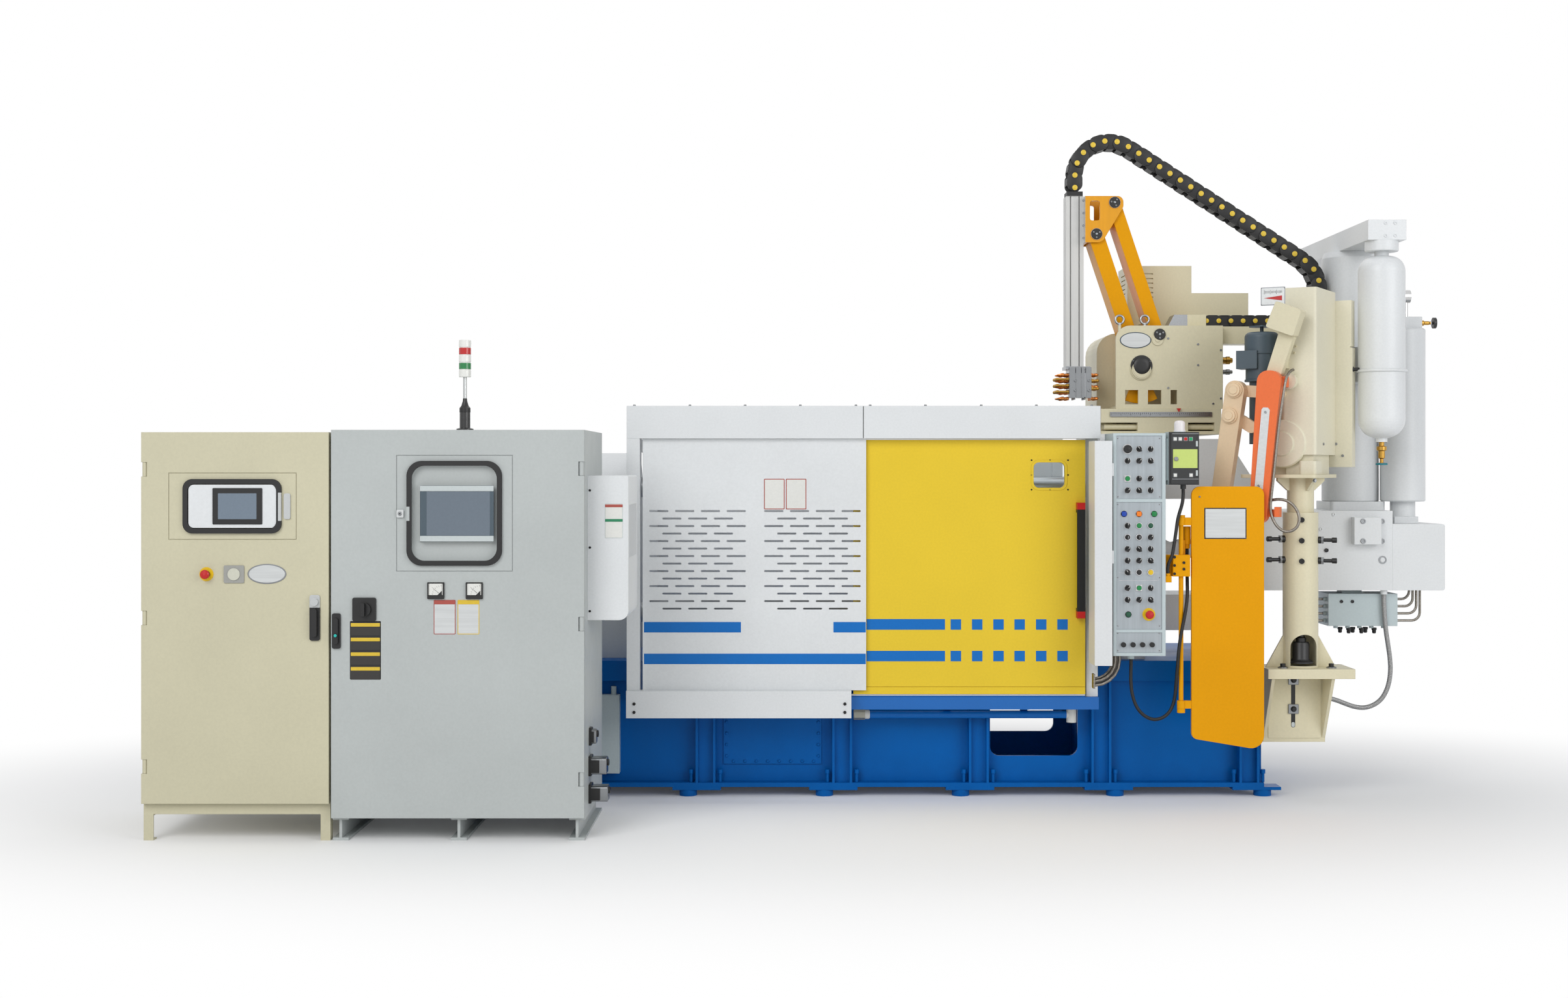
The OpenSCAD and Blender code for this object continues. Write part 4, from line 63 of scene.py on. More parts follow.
def make_camera():
    data = bpy.data.cameras.new("camera")
    data.sensor_width = SENSOR
    data.lens = FOCAL / PHOTO_W * SENSOR
    data.shift_x = (PHOTO_W / 2 - VANISH_X) / PHOTO_W
    data.shift_y = (VANISH_Y - PHOTO_H / 2) / PHOTO_W
    data.clip_end = 200
    camera = bpy.data.objects.new("camera", data)
    bpy.context.scene.collection.objects.link(camera)
    camera.location = (-LAYOUT_X, LAYOUT_Y - CAMERA_DISTANCE, CAMERA_HEIGHT)
    camera.rotation_euler = (math.radians(90), 0, 0)
    bpy.context.scene.camera = camera


make_camera()

# Materials
MATERIALS = {}


def linear(c):
    return tuple(v / 12.92 if v <= 0.04045 else ((v + 0.055) / 1.055) ** 2.4 for v in c) + (1.0,)


class Tree:
    """Adds nodes to a node tree. Where a node takes a value, it takes another node's socket too."""

    def __init__(self, tree):
        self.nodes, self.link = tree.nodes, tree.links.new

    def put(self, socket, value):
        if isinstance(value, bpy.types.NodeSocket):
            self.link(value, socket)
        else:
            socket.default_value = value

    def add(self, kind, *values, **settings):
        """Node with its inputs filled in their order; None leaves one as it is."""
        node = self.nodes.new("ShaderNode" + kind)
        for key, value in settings.items():
            setattr(node, key, value)
        for socket, value in zip(node.inputs, values):
            if value is not None:
                self.put(socket, value)
        return node

    def math(self, operation, a, b):
        return self.add("Math", a, b, operation=operation).outputs[0]

    def vector(self, operation, a, b=None):
        return self.add("VectorMath", a, b, operation=operation).outputs[0]


def box_group():
    """Node group that is 1 inside a box, given by its middle and its half size, and 0 outside."""
    g = bpy.data.node_groups.new("inside_box", "ShaderNodeTree")
    for name in ("Point", "Middle", "Half"):
        g.interface.new_socket(name, in_out="INPUT", socket_type="NodeSocketVector")
    g.interface.new_socket("Inside", in_out="OUTPUT", socket_type="NodeSocketFloat")
    t = Tree(g)
    point, middle, half = g.nodes.new("NodeGroupInput").outputs[:3]
    over = t.vector("SUBTRACT", t.vector("ABSOLUTE", t.vector("SUBTRACT", point, middle)), half)
    x, y, z = t.add("SeparateXYZ", over).outputs
    inside = t.math("LESS_THAN", t.math("MAXIMUM", t.math("MAXIMUM", x, y), z), 0)
    t.link(inside, g.nodes.new("NodeGroupOutput").inputs[0])
    return g


INSIDE = box_group()


def new_material(name):
    made = bpy.data.materials.new(name)
    made.use_nodes = True
    MATERIALS[name] = made
    return made, Tree(made.node_tree), made.node_tree.nodes["Principled BSDF"].inputs


def finish(name, colour, rough=0.4, metal=0.0, cloud=0.05, cloud_size=0.5, grain=0.03, peel=0.06,
           peel_size=0.004, brush=None, round_edge=0.0025, coat=0.0, zones=(), dust=0.0, spec=0.5):
    """Finish with cloudy colour, fine grain, uneven gloss and softly rounded edges. brush stretches the
    grain along an axis. zones are (colour, roughness, metallic, boxes in machine millimetres)."""
    made, t, shader = new_material(name)
    where = t.add("TexCoord").outputs["Object"]

    def noise(size, detail=3, stretch=None):
        point = t.vector("MULTIPLY", where, stretch) if stretch else where
        return t.add("TexNoise", point, None, 1 / size, detail).outputs["Fac"]

    def ranged(value, low, high, start=0.3, end=0.7):
        return t.add("MapRange", value, start, end, low, high).outputs["Result"]

    def mixed(kind, factor, a, b, **settings):
        mix = t.add("Mix", factor, data_type=kind, **settings)
        first, result = (6, 2) if kind == "RGBA" else (2, 0)
        t.put(mix.inputs[first], a)
        t.put(mix.inputs[first + 1], b)
        return mix.outputs[result]

    base, gloss, metallic = linear(colour), rough, metal
    for zone_colour, zone_rough, zone_metal, boxes in zones:
        mask = None
        for x0, x1, y0, y1, z0, z1 in boxes:
            low, high = at(x0, y0, z0), at(x1, y1, z1)
            group = t.add("Group")
            group.node_tree = INSIDE
            for socket, value in zip(group.inputs, (where, (low + high) / 2, (high - low) / 2)):
                t.put(socket, value)
            inside = group.outputs[0]
            mask = inside if mask is None else t.math("MAXIMUM", mask, inside)
        base = mixed("RGBA", mask, base, linear(zone_colour))
        gloss = mixed("FLOAT", mask, gloss, zone_rough)
        if zone_metal != metallic or isinstance(metallic, bpy.types.NodeSocket):
            metallic = mixed("FLOAT", mask, metallic, zone_metal)
    shade = ranged(noise(cloud_size), 1 - cloud, 1 + cloud * 0.4)
    fine = ranged(noise(peel_size * 2.5, 2, brush), 1 - grain, 1 + grain * 0.5)
    tone = t.math("MULTIPLY", shade, fine)
    if dust:
        height = t.add("SeparateXYZ", where).outputs[2]
        patchy = t.math("MULTIPLY", ranged(height, dust, 0.0, 0.0, 0.35), noise(0.09, 5))
        tone = t.math("MULTIPLY", tone, t.math("SUBTRACT", 1.0, patchy))
    grey = t.add("CombineColor", tone, tone, tone).outputs[0]
    t.link(mixed("RGBA", 1.0, base, grey, blend_type="MULTIPLY"), shader["Base Color"])
    t.link(t.math("MULTIPLY", gloss, ranged(noise(cloud_size * 0.3, 4), 0.88, 1.14)), shader["Roughness"])
    t.put(shader["Metallic"], metallic)
    shader["Specular IOR Level"].default_value = spec
    shader["Coat Weight"].default_value = coat
    shader["Coat Roughness"].default_value = 0.12
    bump = t.add("Bump", peel, 0.001)
    t.link(noise(peel_size, 2, brush), bump.inputs["Height"])
    if round_edge:
        t.link(t.add("Bevel", round_edge, samples=4).outputs[0], bump.inputs["Normal"])
    t.link(bump.outputs[0], shader["Normal"])
    return made


def clear(name, colour, rough):
    """Clear glass, a little uneven."""
    made, t, shader = new_material(name)
    uneven = t.add("TexNoise", t.add("TexCoord").outputs["Object"], None, 14).outputs["Fac"]
    gloss = t.add("MapRange", uneven, None, None, rough * 0.7, rough * 1.4).outputs["Result"]
    t.link(gloss, shader["Roughness"])
    shader["Base Color"].default_value = linear(colour)
    shader["Transmission Weight"].default_value = 1.0
    shader["IOR"].default_value = 1.45
    return made


CREAM, GREY, WHITE = (0.79, 0.77, 0.66), (0.71, 0.73, 0.725), (0.87, 0.88, 0.885)
BLUE, STRIPE, YELLOW, GATE = (0.0, 0.385, 0.70), (0.0, 0.42, 0.74), (0.90, 0.77, 0.17), (0.90, 0.62, 0.0)
ORANGE, ROBOT, SLATE = (0.93, 0.45, 0.24), (0.86, 0.83, 0.71), (0.27, 0.33, 0.37)
BLACK, DARK, STEEL, CHROME = (0.05, 0.05, 0.055), (0.14, 0.145, 0.15), (0.62, 0.63, 0.64), (0.8, 0.8, 0.8)
BRASS, RED, GREEN, LIT = (0.72, 0.56, 0.27), (0.75, 0.07, 0.06), (0.05, 0.5, 0.25), (0.92, 0.92, 0.9)
CTL, SAFETY = (0.74, 0.79, 0.80), (0.92, 0.76, 0.05)

# Front of the control box's plates, its lower face and the columns of its buttons
PLATE_Y, CTL_Z = -845, 717
BUTTON_X = (1556, 1610, 1664)
# Rows of the control box: height over its lower face, and the colour of each cap or None
BUTTON_ROWS = [
    (829, ("green", None, None)), (664, ()), (609, (None, "green", "darkgreen")),
    (391, (None, "black", "yellow")), (318, (None, "green", None)),
]
CAPS = {"green": GREEN, "darkgreen": (0.03, 0.3, 0.2), "yellow": (0.9, 0.75, 0.1), "blue": (0.05, 0.25, 0.65),
        "orange": (0.95, 0.5, 0.1), "red": RED, "white": LIT}


def cap_boxes(places):
    return [(x - 11.6, x + 11.6, PLATE_Y - 30, PLATE_Y - 4.3, z - 11.6, z + 11.6) for x, z in places]


def stop_button(x, z, plate_y, head_y):
    """Yellow plate and red head of a stop button, with the Y range of each."""
    return [(SAFETY, 0.4, 0, [(x - 31, x + 31, *plate_y, z - 31, z + 31)]),
            (RED, 0.3, 0, [(x - 21, x + 21, *head_y, z - 21, z + 21)])]


def panel_zones():
    """Zones of the control box's plates: black fittings, bright rims and coloured caps."""
    caps = {}
    for row, colours in BUTTON_ROWS:
        for x, key in zip(BUTTON_X, colours):
            if key in CAPS:
                caps.setdefault(key, []).append((x, CTL_Z + row))
    for x, key in ((1540, "blue"), (1610, "orange"), (1681, "green")):
        caps.setdefault(key, []).append((x, CTL_Z + 664))
    caps.setdefault("darkgreen", []).append((1560, CTL_Z + 194))
    keys = [(x - 2.5, x + 2.5, PLATE_Y - 30, PLATE_Y - 12.2, CTL_Z + 549, CTL_Z + 561) for x in BUTTON_X[:2]]
    return [(BLACK, 0.4, 0, [(1490, 1730, -900, PLATE_Y - 4.2, 700, 1800)]),
            (CHROME, 0.2, 1, [(1490, 1730, PLATE_Y - 4.2, PLATE_Y - 0.2, 700, 1800)])] + [
        (CAPS[key], 0.3, 0, cap_boxes(places)) for key, places in caps.items()] + [
        (STEEL, 0.3, 1, keys)] + stop_button(1656, CTL_Z + 194, (PLATE_Y - 2.2, PLATE_Y - 0.1),
                                             (-900, PLATE_Y - 18))


finish("cream_paint", CREAM, 0.42)
finish("grey_paint", GREY, 0.42)
finish("white_paint", WHITE, 0.38)
finish("blue_paint", BLUE, 0.36, cloud=0.08, dust=0.3, spec=0.12)
finish("yellow_paint", YELLOW, 0.4, cloud=0.04, spec=0.35)
finish("gate_yellow", GATE, 0.34, spec=0.14)
finish("orange_paint", ORANGE, 0.36, spec=0.3)
finish("robot_cream", ROBOT, 0.38, cloud=0.06)
finish("motor_slate", SLATE, 0.45, peel=0.12)
finish("steel", STEEL, 0.3, 1.0, grain=0.1, brush=(0.05, 1, 1))
finish("feet_steel", (0.45, 0.46, 0.47), 0.4, 1.0)
finish("chain_plastic", BLACK, 0.5, peel=0.15, peel_size=0.002)
finish("dark_plastic", DARK, 0.5, peel=0.15, peel_size=0.002)
finish("lamp_white", LIT, 0.2, coat=0.5)
finish("braid_grey", (0.62, 0.62, 0.62), 0.42, 0.4, grain=0.3, peel=0.6, peel_size=0.002)
finish("black_rubber", (0.04, 0.04, 0.045), 0.55, peel=0.1, peel_size=0.002)
finish("conduit_metal", (0.55, 0.53, 0.5), 0.38, 1.0, grain=0.25, peel=0.5, peel_size=0.0025)
finish("panel_silver", (0.66, 0.69, 0.71), 0.38, 0.6, grain=0.08, brush=(1, 1, 0.05))
finish("box_grey", CTL, 0.4)

# Finishes of the nodes that carry several colours, each under its node's name. CAB_Y is the front of
# the cabinets' doors
CAB_Y = -1614
MATERIALS["control_panels"] = finish(
    "panel_fittings", (0.66, 0.69, 0.71), 0.38, 0.3, grain=0.08, brush=(1, 1, 0.05), round_edge=0.0008,
    zones=panel_zones())
finish("cream_fittings", BLACK, 0.45, round_edge=0.001, zones=[
    (CREAM, 0.4, 0, [(-2505, -2280, CAB_Y - 9, CAB_Y + 20, 1355, 1510)]),
    (DARK, 0.2, 0, [(-2480, -2314, CAB_Y - 3, CAB_Y + 20, 1385, 1480)]),
    ((0.62, 0.62, 0.6), 0.4, 0, [(-2440, -2340, CAB_Y - 30, CAB_Y + 1, 1100, 1190)]),
    ((0.80, 0.80, 0.74), 0.4, 0, [(-2417, -2363, CAB_Y - 30, CAB_Y - 5.2, 1115, 1169)]),
    ((0.74, 0.75, 0.75), 0.35, 0.5, [(-2200, -2140, CAB_Y - 40, CAB_Y + 1, 1370, 1490),
                                     (-2090, -2010, CAB_Y - 60, CAB_Y + 1, 1000, 1060)])]
    + stop_button(-2508, 1142, (CAB_Y - 2.4, CAB_Y + 1), (CAB_Y - 60, CAB_Y - 18)))
finish("grey_fittings", BLACK, 0.45, round_edge=0.001, zones=[
    (GREY, 0.4, 0, [(-1610, -1290, CAB_Y - 9, CAB_Y + 20, 1278, 1526)]),
    (DARK, 0.2, 0, [(-1580, -1320, CAB_Y - 3, CAB_Y + 20, 1310, 1493)]),
    ((0.9, 0.9, 0.88), 0.3, 0, [(-1561, -1497, CAB_Y - 7, CAB_Y + 1, 1045, 1110),
                                (-1397, -1333, CAB_Y - 7, CAB_Y + 1, 1045, 1110)]),
    (GREY, 0.4, 0, [(-1720, -1640, CAB_Y - 30, CAB_Y + 1, 1370, 1430)])])
finish("pilot_box", DARK, 0.45, round_edge=0.001, zones=[
    (CTL, 0.4, 0, [(1740, 1895, -849.8, -700, 1510, 1770)]),
    ((0.92, 0.90, 0.90), 0.15, 0, [(1780, 1840, -860, -740, 1766, 1830)]),
    (DARK, 0.5, 0, [(1805, 1850, -830, -780, 1490, 1517)])])
finish("spray_column", (0.80, 0.80, 0.79), 0.42, 0.15, grain=0.04, brush=(1, 1, 0.05), zones=[
    (GATE, 0.32, 0, [(1474.5, 1700, -100, 100, 2700, 3000), (1474.5, 1488, -110, 110, 2700, 3000)]),
    (BLACK, 0.5, 0, [(1380, 1475, -60, 60, 2982, 3010)])])
finish("front_bottle", WHITE, 0.35, zones=[
    (BRASS, 0.3, 1, [(2820, 2920, -500, -400, 1600, 1722.5)]),
    ((0.0, 0.45, 0.5), 0.35, 0, [(2820, 2920, -500, -400, 1600, 1620)])])
finish("side_accumulator", WHITE, 0.35, zones=[
    (BRASS, 0.3, 1, [(3178.5, 3240, -80, -20, 2300, 2370)]),
    (DARK, 0.4, 0, [(3245, 3275, -80, -20, 2300, 2370)]),
    (CHROME, 0.2, 1, [(3080, 3150, -90, -10, 2362.5, 2560)])])
finish("coolant_pipe", BLUE, 0.32, spec=0.25, zones=[
    ((0.6, 0.6, 0.56), 0.4, 0.6, [(280, 342, -600, -500, 360, 450)]),
    ((0.82, 0.82, 0.8), 0.4, 0, [(340, 364, -600, -500, 360, 450), (1312, 1362, -600, -500, 360, 460)]),
    (BRASS, 0.3, 1, [(1285, 1338, -600, -500, 432, 500)])])
finish("sliding_door", YELLOW, 0.4, cloud=0.04, spec=0.35, zones=[
    (BLACK, 0.45, 0, [(1340, 1390, -700, -640.3, 870, 1440)]),
    (RED, 0.4, 0, [(1340, 1390, -700, -640.3, 875, 912), (1340, 1390, -700, -640.3, 1398, 1435)])])
finish("sprayer_housing", ROBOT, 0.38, cloud=0.06, zones=[
    (STEEL, 0.25, 1, [(1600, 2000, -140, 60, 2317, 2400)])])
finish("guard_frame", WHITE, 0.38, zones=[
    (BLUE, 0.36, 0, [(271, 1470, -700, -610, 430, 506)])])
# The ladler housing's cream is the robot cream made lighter: painted light of its lit side
finish("ladler_housing", (0.88, 0.86, 0.77), 0.38, cloud=0.06)
finish("ladler_lever", (0.90, 0.80, 0.66), 0.38, cloud=0.06)
finish("spray_head", STEEL, 0.3, 1.0, grain=0.1, zones=[
    (BRASS, 0.28, 1, [(1300, 1397.5, -70, 70, 1940, 2090), (1510.5, 1600, -70, 70, 1940, 2090)])])
finish("signal_tower", LIT, 0.2, coat=0.5, zones=[
    ((0.75, 0.76, 0.76), 0.3, 0.8, [(-1500, -1360, -1500, -1400, 1750, 1990)]),
    (BLACK, 0.4, 0, [(-1500, -1360, -1500, -1400, 1750, 1838)]),
    (RED, 0.15, 0, [(-1500, -1360, -1500, -1400, 2089, 2118)]),
    (GREEN, 0.15, 0, [(-1500, -1360, -1500, -1400, 2025, 2052)])])
for node_name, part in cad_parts.items():
    slot_name = part.data.materials[0].name
    part.material_slots[0].material = MATERIALS.get(node_name) or MATERIALS[slot_name]

# Building pieces


def facing(point, out=(0, -1, 0), up=(0, 0, 1)):
    """Matrix whose Z axis looks along out and whose Y axis looks up, at a point of the frame."""
    z = Vector(out).normalized()
    x = Vector(up).cross(z).normalized()
    y = z.cross(x)
    m = Matrix((x, y, z)).transposed().to_4x4()
    m.translation = point
    return m


def upward(x, y, z):
    """Matrix at a point in machine millimetres whose Z axis looks up."""
    return facing(at(x, y, z), (0, 0, 1), (0, 1, 0))


def shift(x=0, y=0, z=0):
    """Move by millimetres."""
    return Matrix.Translation(Vector((x, y, z)) / 1000)


PEDESTAL = at(2425, -620, 0)
LADLER = Matrix.Translation(PEDESTAL) @ Matrix.Rotation(math.radians(-30), 4, "Z")


def ladler(x, y, z):
    """Facing matrix in the ladler's own turned millimetres."""
    return LADLER @ facing(Vector((x, y, z)) / 1000)


def round_rect(w, h, r, steps=5):
    """Outline of a rectangle with round corners about its middle."""
    points = []
    for i, (sx, sy) in enumerate(((1, 1), (-1, 1), (-1, -1), (1, -1))):
        for k in range(steps + 1):
            a = math.radians(90 * (i + k / steps))
            points.append((sx * (w / 2 - r) + r * math.cos(a), sy * (h / 2 - r) + r * math.sin(a)))
    return points


def round_about(r, count, turn=0.0):
    """Points at equal steps round a circle."""
    return [(r * math.cos(math.tau * k / count + turn), r * math.sin(math.tau * k / count + turn))
            for k in range(count)]


def disc_outline(d, sides=24):
    return round_about(d / 2, sides)


def levels(outline, *heights):
    """The same outline at several heights, as rings."""
    return [[(x, y, h) for x, y in outline] for h in heights]


class Build:
    """Collects shapes given in millimetres into one mesh."""

    def __init__(self):
        self.bm = bmesh.new()

    def rings(self, place, rings, mat=0, closed=False):
        rows = [[self.bm.verts.new(place @ (Vector(p) / 1000)) for p in ring] for ring in rings]
        pairs = list(zip(rows, rows[1:])) + ([(rows[-1], rows[0])] if closed else [])
        for a, b in pairs:
            for k in range(len(a)):
                j = (k + 1) % len(a)
                self.bm.faces.new((a[k], a[j], b[j], b[k])).material_index = mat
        if not closed:
            self.bm.faces.new(list(reversed(rows[0]))).material_index = mat
            self.bm.faces.new(rows[-1]).material_index = mat

    def lathe(self, place, profile, mat=0, sides=24):
        """profile is (radius, height) from the bottom up."""
        self.rings(place, [[(x, y, h) for x, y in disc_outline(2 * r, sides)] for r, h in profile], mat)

    def prism(self, place, outline, low, high, mat=0, chamfer=0.0):
        """Outline about its middle, from one height to another, with a chamfered top."""
        w = max(abs(x) for x, y in outline)
        h = max(abs(y) for x, y in outline)
        rings = levels(outline, low, high - chamfer)
        if chamfer:
            rings.append([(x * (1 - chamfer / w), y * (1 - chamfer / h), high) for x, y in outline])
        self.rings(place, rings, mat)

    def ring(self, place, outline, inner, low, high, mat=0):
        """Rim between two outlines with as many points each."""
        self.rings(place, levels(outline, low, high) + levels(inner, high, low), mat, True)

    def hex_bolt(self, place, d=14, h=7, mat=0):
        self.lathe(place, [(d * 0.72, 0), (d * 0.72, 1.2), (d * 0.7, 1.5)], mat, 16)
        self.rings(place, [[(x, y, z) for x, y in disc_outline(s, 6)] for s, z in
                           ((d * 1.1, 1.4), (d * 1.1, h - 1), (d * 0.95, h))], mat)

    def socket_bolt(self, place, d=12, h=6, mat=0):
        r = d / 2
        rings = [[(x, y, z) for x, y in disc_outline(2 * q, 18)] for q, z in
                 ((r, 0), (r, h - 0.8), (r - 0.8, h), (r * 0.55, h), (r * 0.5, h - 3))]
        self.rings(place, rings, mat)

    def done(self, name, materials, slot, body="root", smooth=35):
        mesh = bpy.data.meshes.new(name)
        bmesh.ops.recalc_face_normals(self.bm, faces=self.bm.faces)
        self.bm.to_mesh(mesh)
        self.bm.free()
        for m in materials:
            mesh.materials.append(m)
        for face in mesh.polygons:
            face.use_smooth = True
        mesh.set_sharp_from_angle(angle=math.radians(smooth))
        obj = bpy.data.objects.new(name, mesh)
        bpy.context.scene.collection.objects.link(obj)
        if body:
            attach(obj, body)
        return obj


# Cords


def smooth_path(points, step=2.0):
    """Points every step millimetres along a smooth curve through the given ones."""
    p = [2 * points[0] - points[1]] + points + [2 * points[-1] - points[-2]]
    fine = []
    for i in range(1, len(p) - 2):
        for k in range(12):
            u = k / 12
            fine.append(0.5 * ((2 * p[i]) + (p[i + 1] - p[i - 1]) * u
                               + (2 * p[i - 1] - 5 * p[i] + 4 * p[i + 1] - p[i + 2]) * u * u
                               + (3 * p[i] - p[i - 1] - 3 * p[i + 1] + p[i + 2]) * u ** 3))
    fine.append(points[-1])
    total = sum((b - a).length for a, b in zip(fine, fine[1:]))
    count = max(2, round(total / step))
    path, done, i = [], 0.0, 0
    for k in range(count + 1):
        goal = total * k / count
        while i < len(fine) - 2 and done + (fine[i + 1] - fine[i]).length < goal:
            done += (fine[i + 1] - fine[i]).length
            i += 1
        span = (fine[i + 1] - fine[i]).length
        path.append(fine[i].lerp(fine[i + 1], min(1.0, (goal - done) / span if span else 0)))
    return path, total


def hose(name, route, diameter, place, material, slot, node, pitch=6.0, depth=1.0, sides=12):
    """Corrugated hose along a route in millimetres; place puts it in the frame."""
    path, total = smooth_path([Vector(p) for p in route], pitch / 4)
    side = Vector((1, 0, 0))
    b = Build()
    rings = []
    for i, p in enumerate(path):
        t = (path[min(i + 1, len(path) - 1)] - path[max(i - 1, 0)]).normalized()
        side = side - t * side.dot(t)
        if side.length < 0.1:
            side = t.orthogonal()
        side.normalize()
        up = t.cross(side)
        wave = (0.0, 0.35, 1.0, 0.35)[i % 4]
        r = diameter / 2 - depth * wave
        rings.append([p + r * (math.cos(math.tau * k / sides) * side + math.sin(math.tau * k / sides) * up)
                      for k in range(sides)])
    b.rings(place, rings)
    obj = b.done(name, [material], slot, smooth=60)
    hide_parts(node)


MACHINE = Matrix.Translation(at(0, 0, 0))
BOX_HOSE = [
    (1585, -778, 697), (1585, -778, 665), (1584, -778, 625), (1585, -779, 577), (1592, -780, 525),
    (1608, -781, 478), (1630, -782, 445), (1660, -783, 422), (1694, -784, 412), (1730, -785, 420),
    (1760, -786, 443), (1779, -788, 478), (1788, -794, 520), (1791, -804, 570), (1793, -814, 620),
    (1796, -820, 670), (1800, -823, 730), (1807, -824, 790), (1818, -823, 850), (1831, -817, 910),
    (1842, -804, 965), (1848, -788, 1010), (1851, -773, 1050), (1852, -765, 1085), (1852, -762, 1120),
    (1852, -762, 1160), (1852, -762, 1190), (1852, -762, 1216),
]
PILOT_HOSE = [
    (1825, -805, 1497), (1825, -805, 1470), (1821, -812, 1440), (1813, -820, 1412), (1803, -826, 1384),
    (1794, -829, 1350), (1788, -831, 1310), (1782, -832, 1270), (1776, -832, 1230), (1769, -831, 1190),
    (1760, -829, 1165), (1753, -827, 1148), (1749, -825, 1126), (1749, -825, 1102),
]
SHOT_HOSE = [
    (2950, -218, 963), (2950, -218, 930), (2952, -218, 880), (2956, -218, 825), (2963, -218, 765),
    (2972, -218, 705), (2980, -218, 645), (2983, -218, 590), (2978, -218, 535), (2964, -218, 485),
    (2938, -217, 440), (2900, -216, 410), (2854, -215, 396), (2806, -214, 400), (2760, -213, 415),
    (2718, -212, 431), (2670, -212, 444), (2615, -212, 450), (2560, -212, 450), (2480, -212, 450),
    (2390, -212, 450), (2301, -212, 450),
]
ARM_CONDUIT = [
    (2, -134, 2060), (-2, -152, 2056), (-6, -178, 2044), (-10, -205, 2022), (-13, -222, 1990),
    (-18, -229, 1945), (-26, -230, 1895), (-35, -230, 1830), (-45, -230, 1745), (-56, -230, 1640),
    (-66, -230, 1545), (-75, -230, 1465), (-79, -231, 1415), (-72, -232, 1368), (-50, -233, 1326),
    (-18, -234, 1301), (18, -234, 1300), (46, -233, 1320), (56, -231, 1352), (50, -228, 1385),
    (32, -225, 1415), (6, -222, 1436), (-22, -218, 1446), (-46, -213, 1448), (-66, -209, 1446),
    (-85.5, -205, 1443),
]
hose("control_hose", BOX_HOSE, 17, MACHINE, MATERIALS["black_rubber"], "black_rubber", "box_hose")
hose("pilot_cable_hose", PILOT_HOSE, 17, MACHINE, MATERIALS["black_rubber"], "black_rubber", "pilot_hose")
hose("injection_hose", SHOT_HOSE, 24, MACHINE, MATERIALS["braid_grey"], "conduit_metal", "shot_hose",
     pitch=8.0, depth=0.7)
hose("braided_conduit", ARM_CONDUIT, 14, LADLER, MATERIALS["conduit_metal"], "conduit_metal", "arm_conduit",
     pitch=4.0, depth=0.5)

# Small parts


def skin(name, colour, rough=0.4, metal=0.0, **more):
    return finish(name, colour, rough, metal, **{"round_edge": 0.0006, **more})


BARE = skin("bare_plate", (0.80, 0.81, 0.81), 0.34, 0.35, grain=0.07, brush=(0.05, 1, 1))
OFF_WHITE = skin("plate_white", (0.88, 0.88, 0.86), 0.4)
RED_RIM = skin("plate_rim_red", (0.66, 0.30, 0.26), 0.42)
INK = skin("black_parts", BLACK, 0.4)
SLATE_BLUE = skin("slate_parts", SLATE, 0.42)
BOLT = skin("bolt_steel", (0.56, 0.57, 0.58), 0.3, 1.0, cloud=0.12)
SHINY = skin("bright_chrome", (0.82, 0.82, 0.83), 0.14, 1.0)
COPPER = skin("copper", (0.82, 0.52, 0.28), 0.3, 1.0, cloud=0.15)
BRASSY = skin("brass_parts", BRASS, 0.3, 1.0, cloud=0.12)
STRIPES = skin("stripe_blue", STRIPE, 0.4, cloud=0.03, spec=0.3)
CREAMY = skin("cream_parts", ROBOT, 0.4)
WHITES = skin("white_parts", WHITE, 0.4)
YELLOWS = skin("yellow_caps", (0.88, 0.75, 0.22), 0.4)
REDS = skin("red_parts", RED, 0.35)
GREENS = skin("green_parts", (0.1, 0.62, 0.38), 0.35)
CYAN = skin("cyan_dot", (0.1, 0.72, 0.68), 0.35)
LIME = skin("lime_plate", (0.76, 0.83, 0.45), 0.45)
PALE = skin("pale_bezel", (0.76, 0.79, 0.79), 0.4)
SCREEN = skin("screen_grey", (0.38, 0.43, 0.48), 0.12, coat=0.6)
SCREEN2 = skin("screen_blue", (0.42, 0.48, 0.54), 0.12, coat=0.6)
PANE = clear("pane_glass", (0.93, 0.96, 0.97), 0.04)

# Surfaces of the CAD nodes, for finding where the camera's rays meet them
TREES = {}
for node_name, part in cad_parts.items():
    TREES[node_name] = BVHTree.FromPolygons([v.co for v in part.data.vertices],
                                            [p.vertices for p in part.data.polygons])


EYE = Vector((-LAYOUT_X, LAYOUT_Y - CAMERA_DISTANCE, CAMERA_HEIGHT))


def seen(px, py, *names):
    """Facing matrix where the camera's ray through a pixel of the photograph meets one of the nodes."""
    ray = Vector(((px - VANISH_X) / FOCAL, 1, -(py - VANISH_Y) / FOCAL)).normalized()
    best = None
    for name in names:
        point, normal, _, far = TREES[name].ray_cast(EYE, ray)
        if point and (best is None or far < best[2]):
            best = (point, normal, far)
    if best is None:
        raise ValueError(f"no surface at {px}, {py} of {names}")
    point, normal, _ = best
    up = (0, 0, 1) if abs(normal.z) < 0.9 else (0, 1, 0)
    return facing(point, normal if normal.dot(ray) < 0 else -normal, up)


def front(x, z, y):
    """Facing the viewer at a point in machine millimetres."""
    return facing(at(x, y, z))


def pixel_scale(y):
    """Millimetres a pixel of the photograph on the plane across the machine at y."""
    return (CAMERA_DISTANCE * 1000 + y) / FOCAL


def from_pixel(px, py, y):
    """X and Z in machine millimetres of a pixel of the photograph, on the plane at y."""
    k = pixel_scale(y)
    return (px - VANISH_X) * k, CAMERA_HEIGHT * 1000 - (py - VANISH_Y) * k


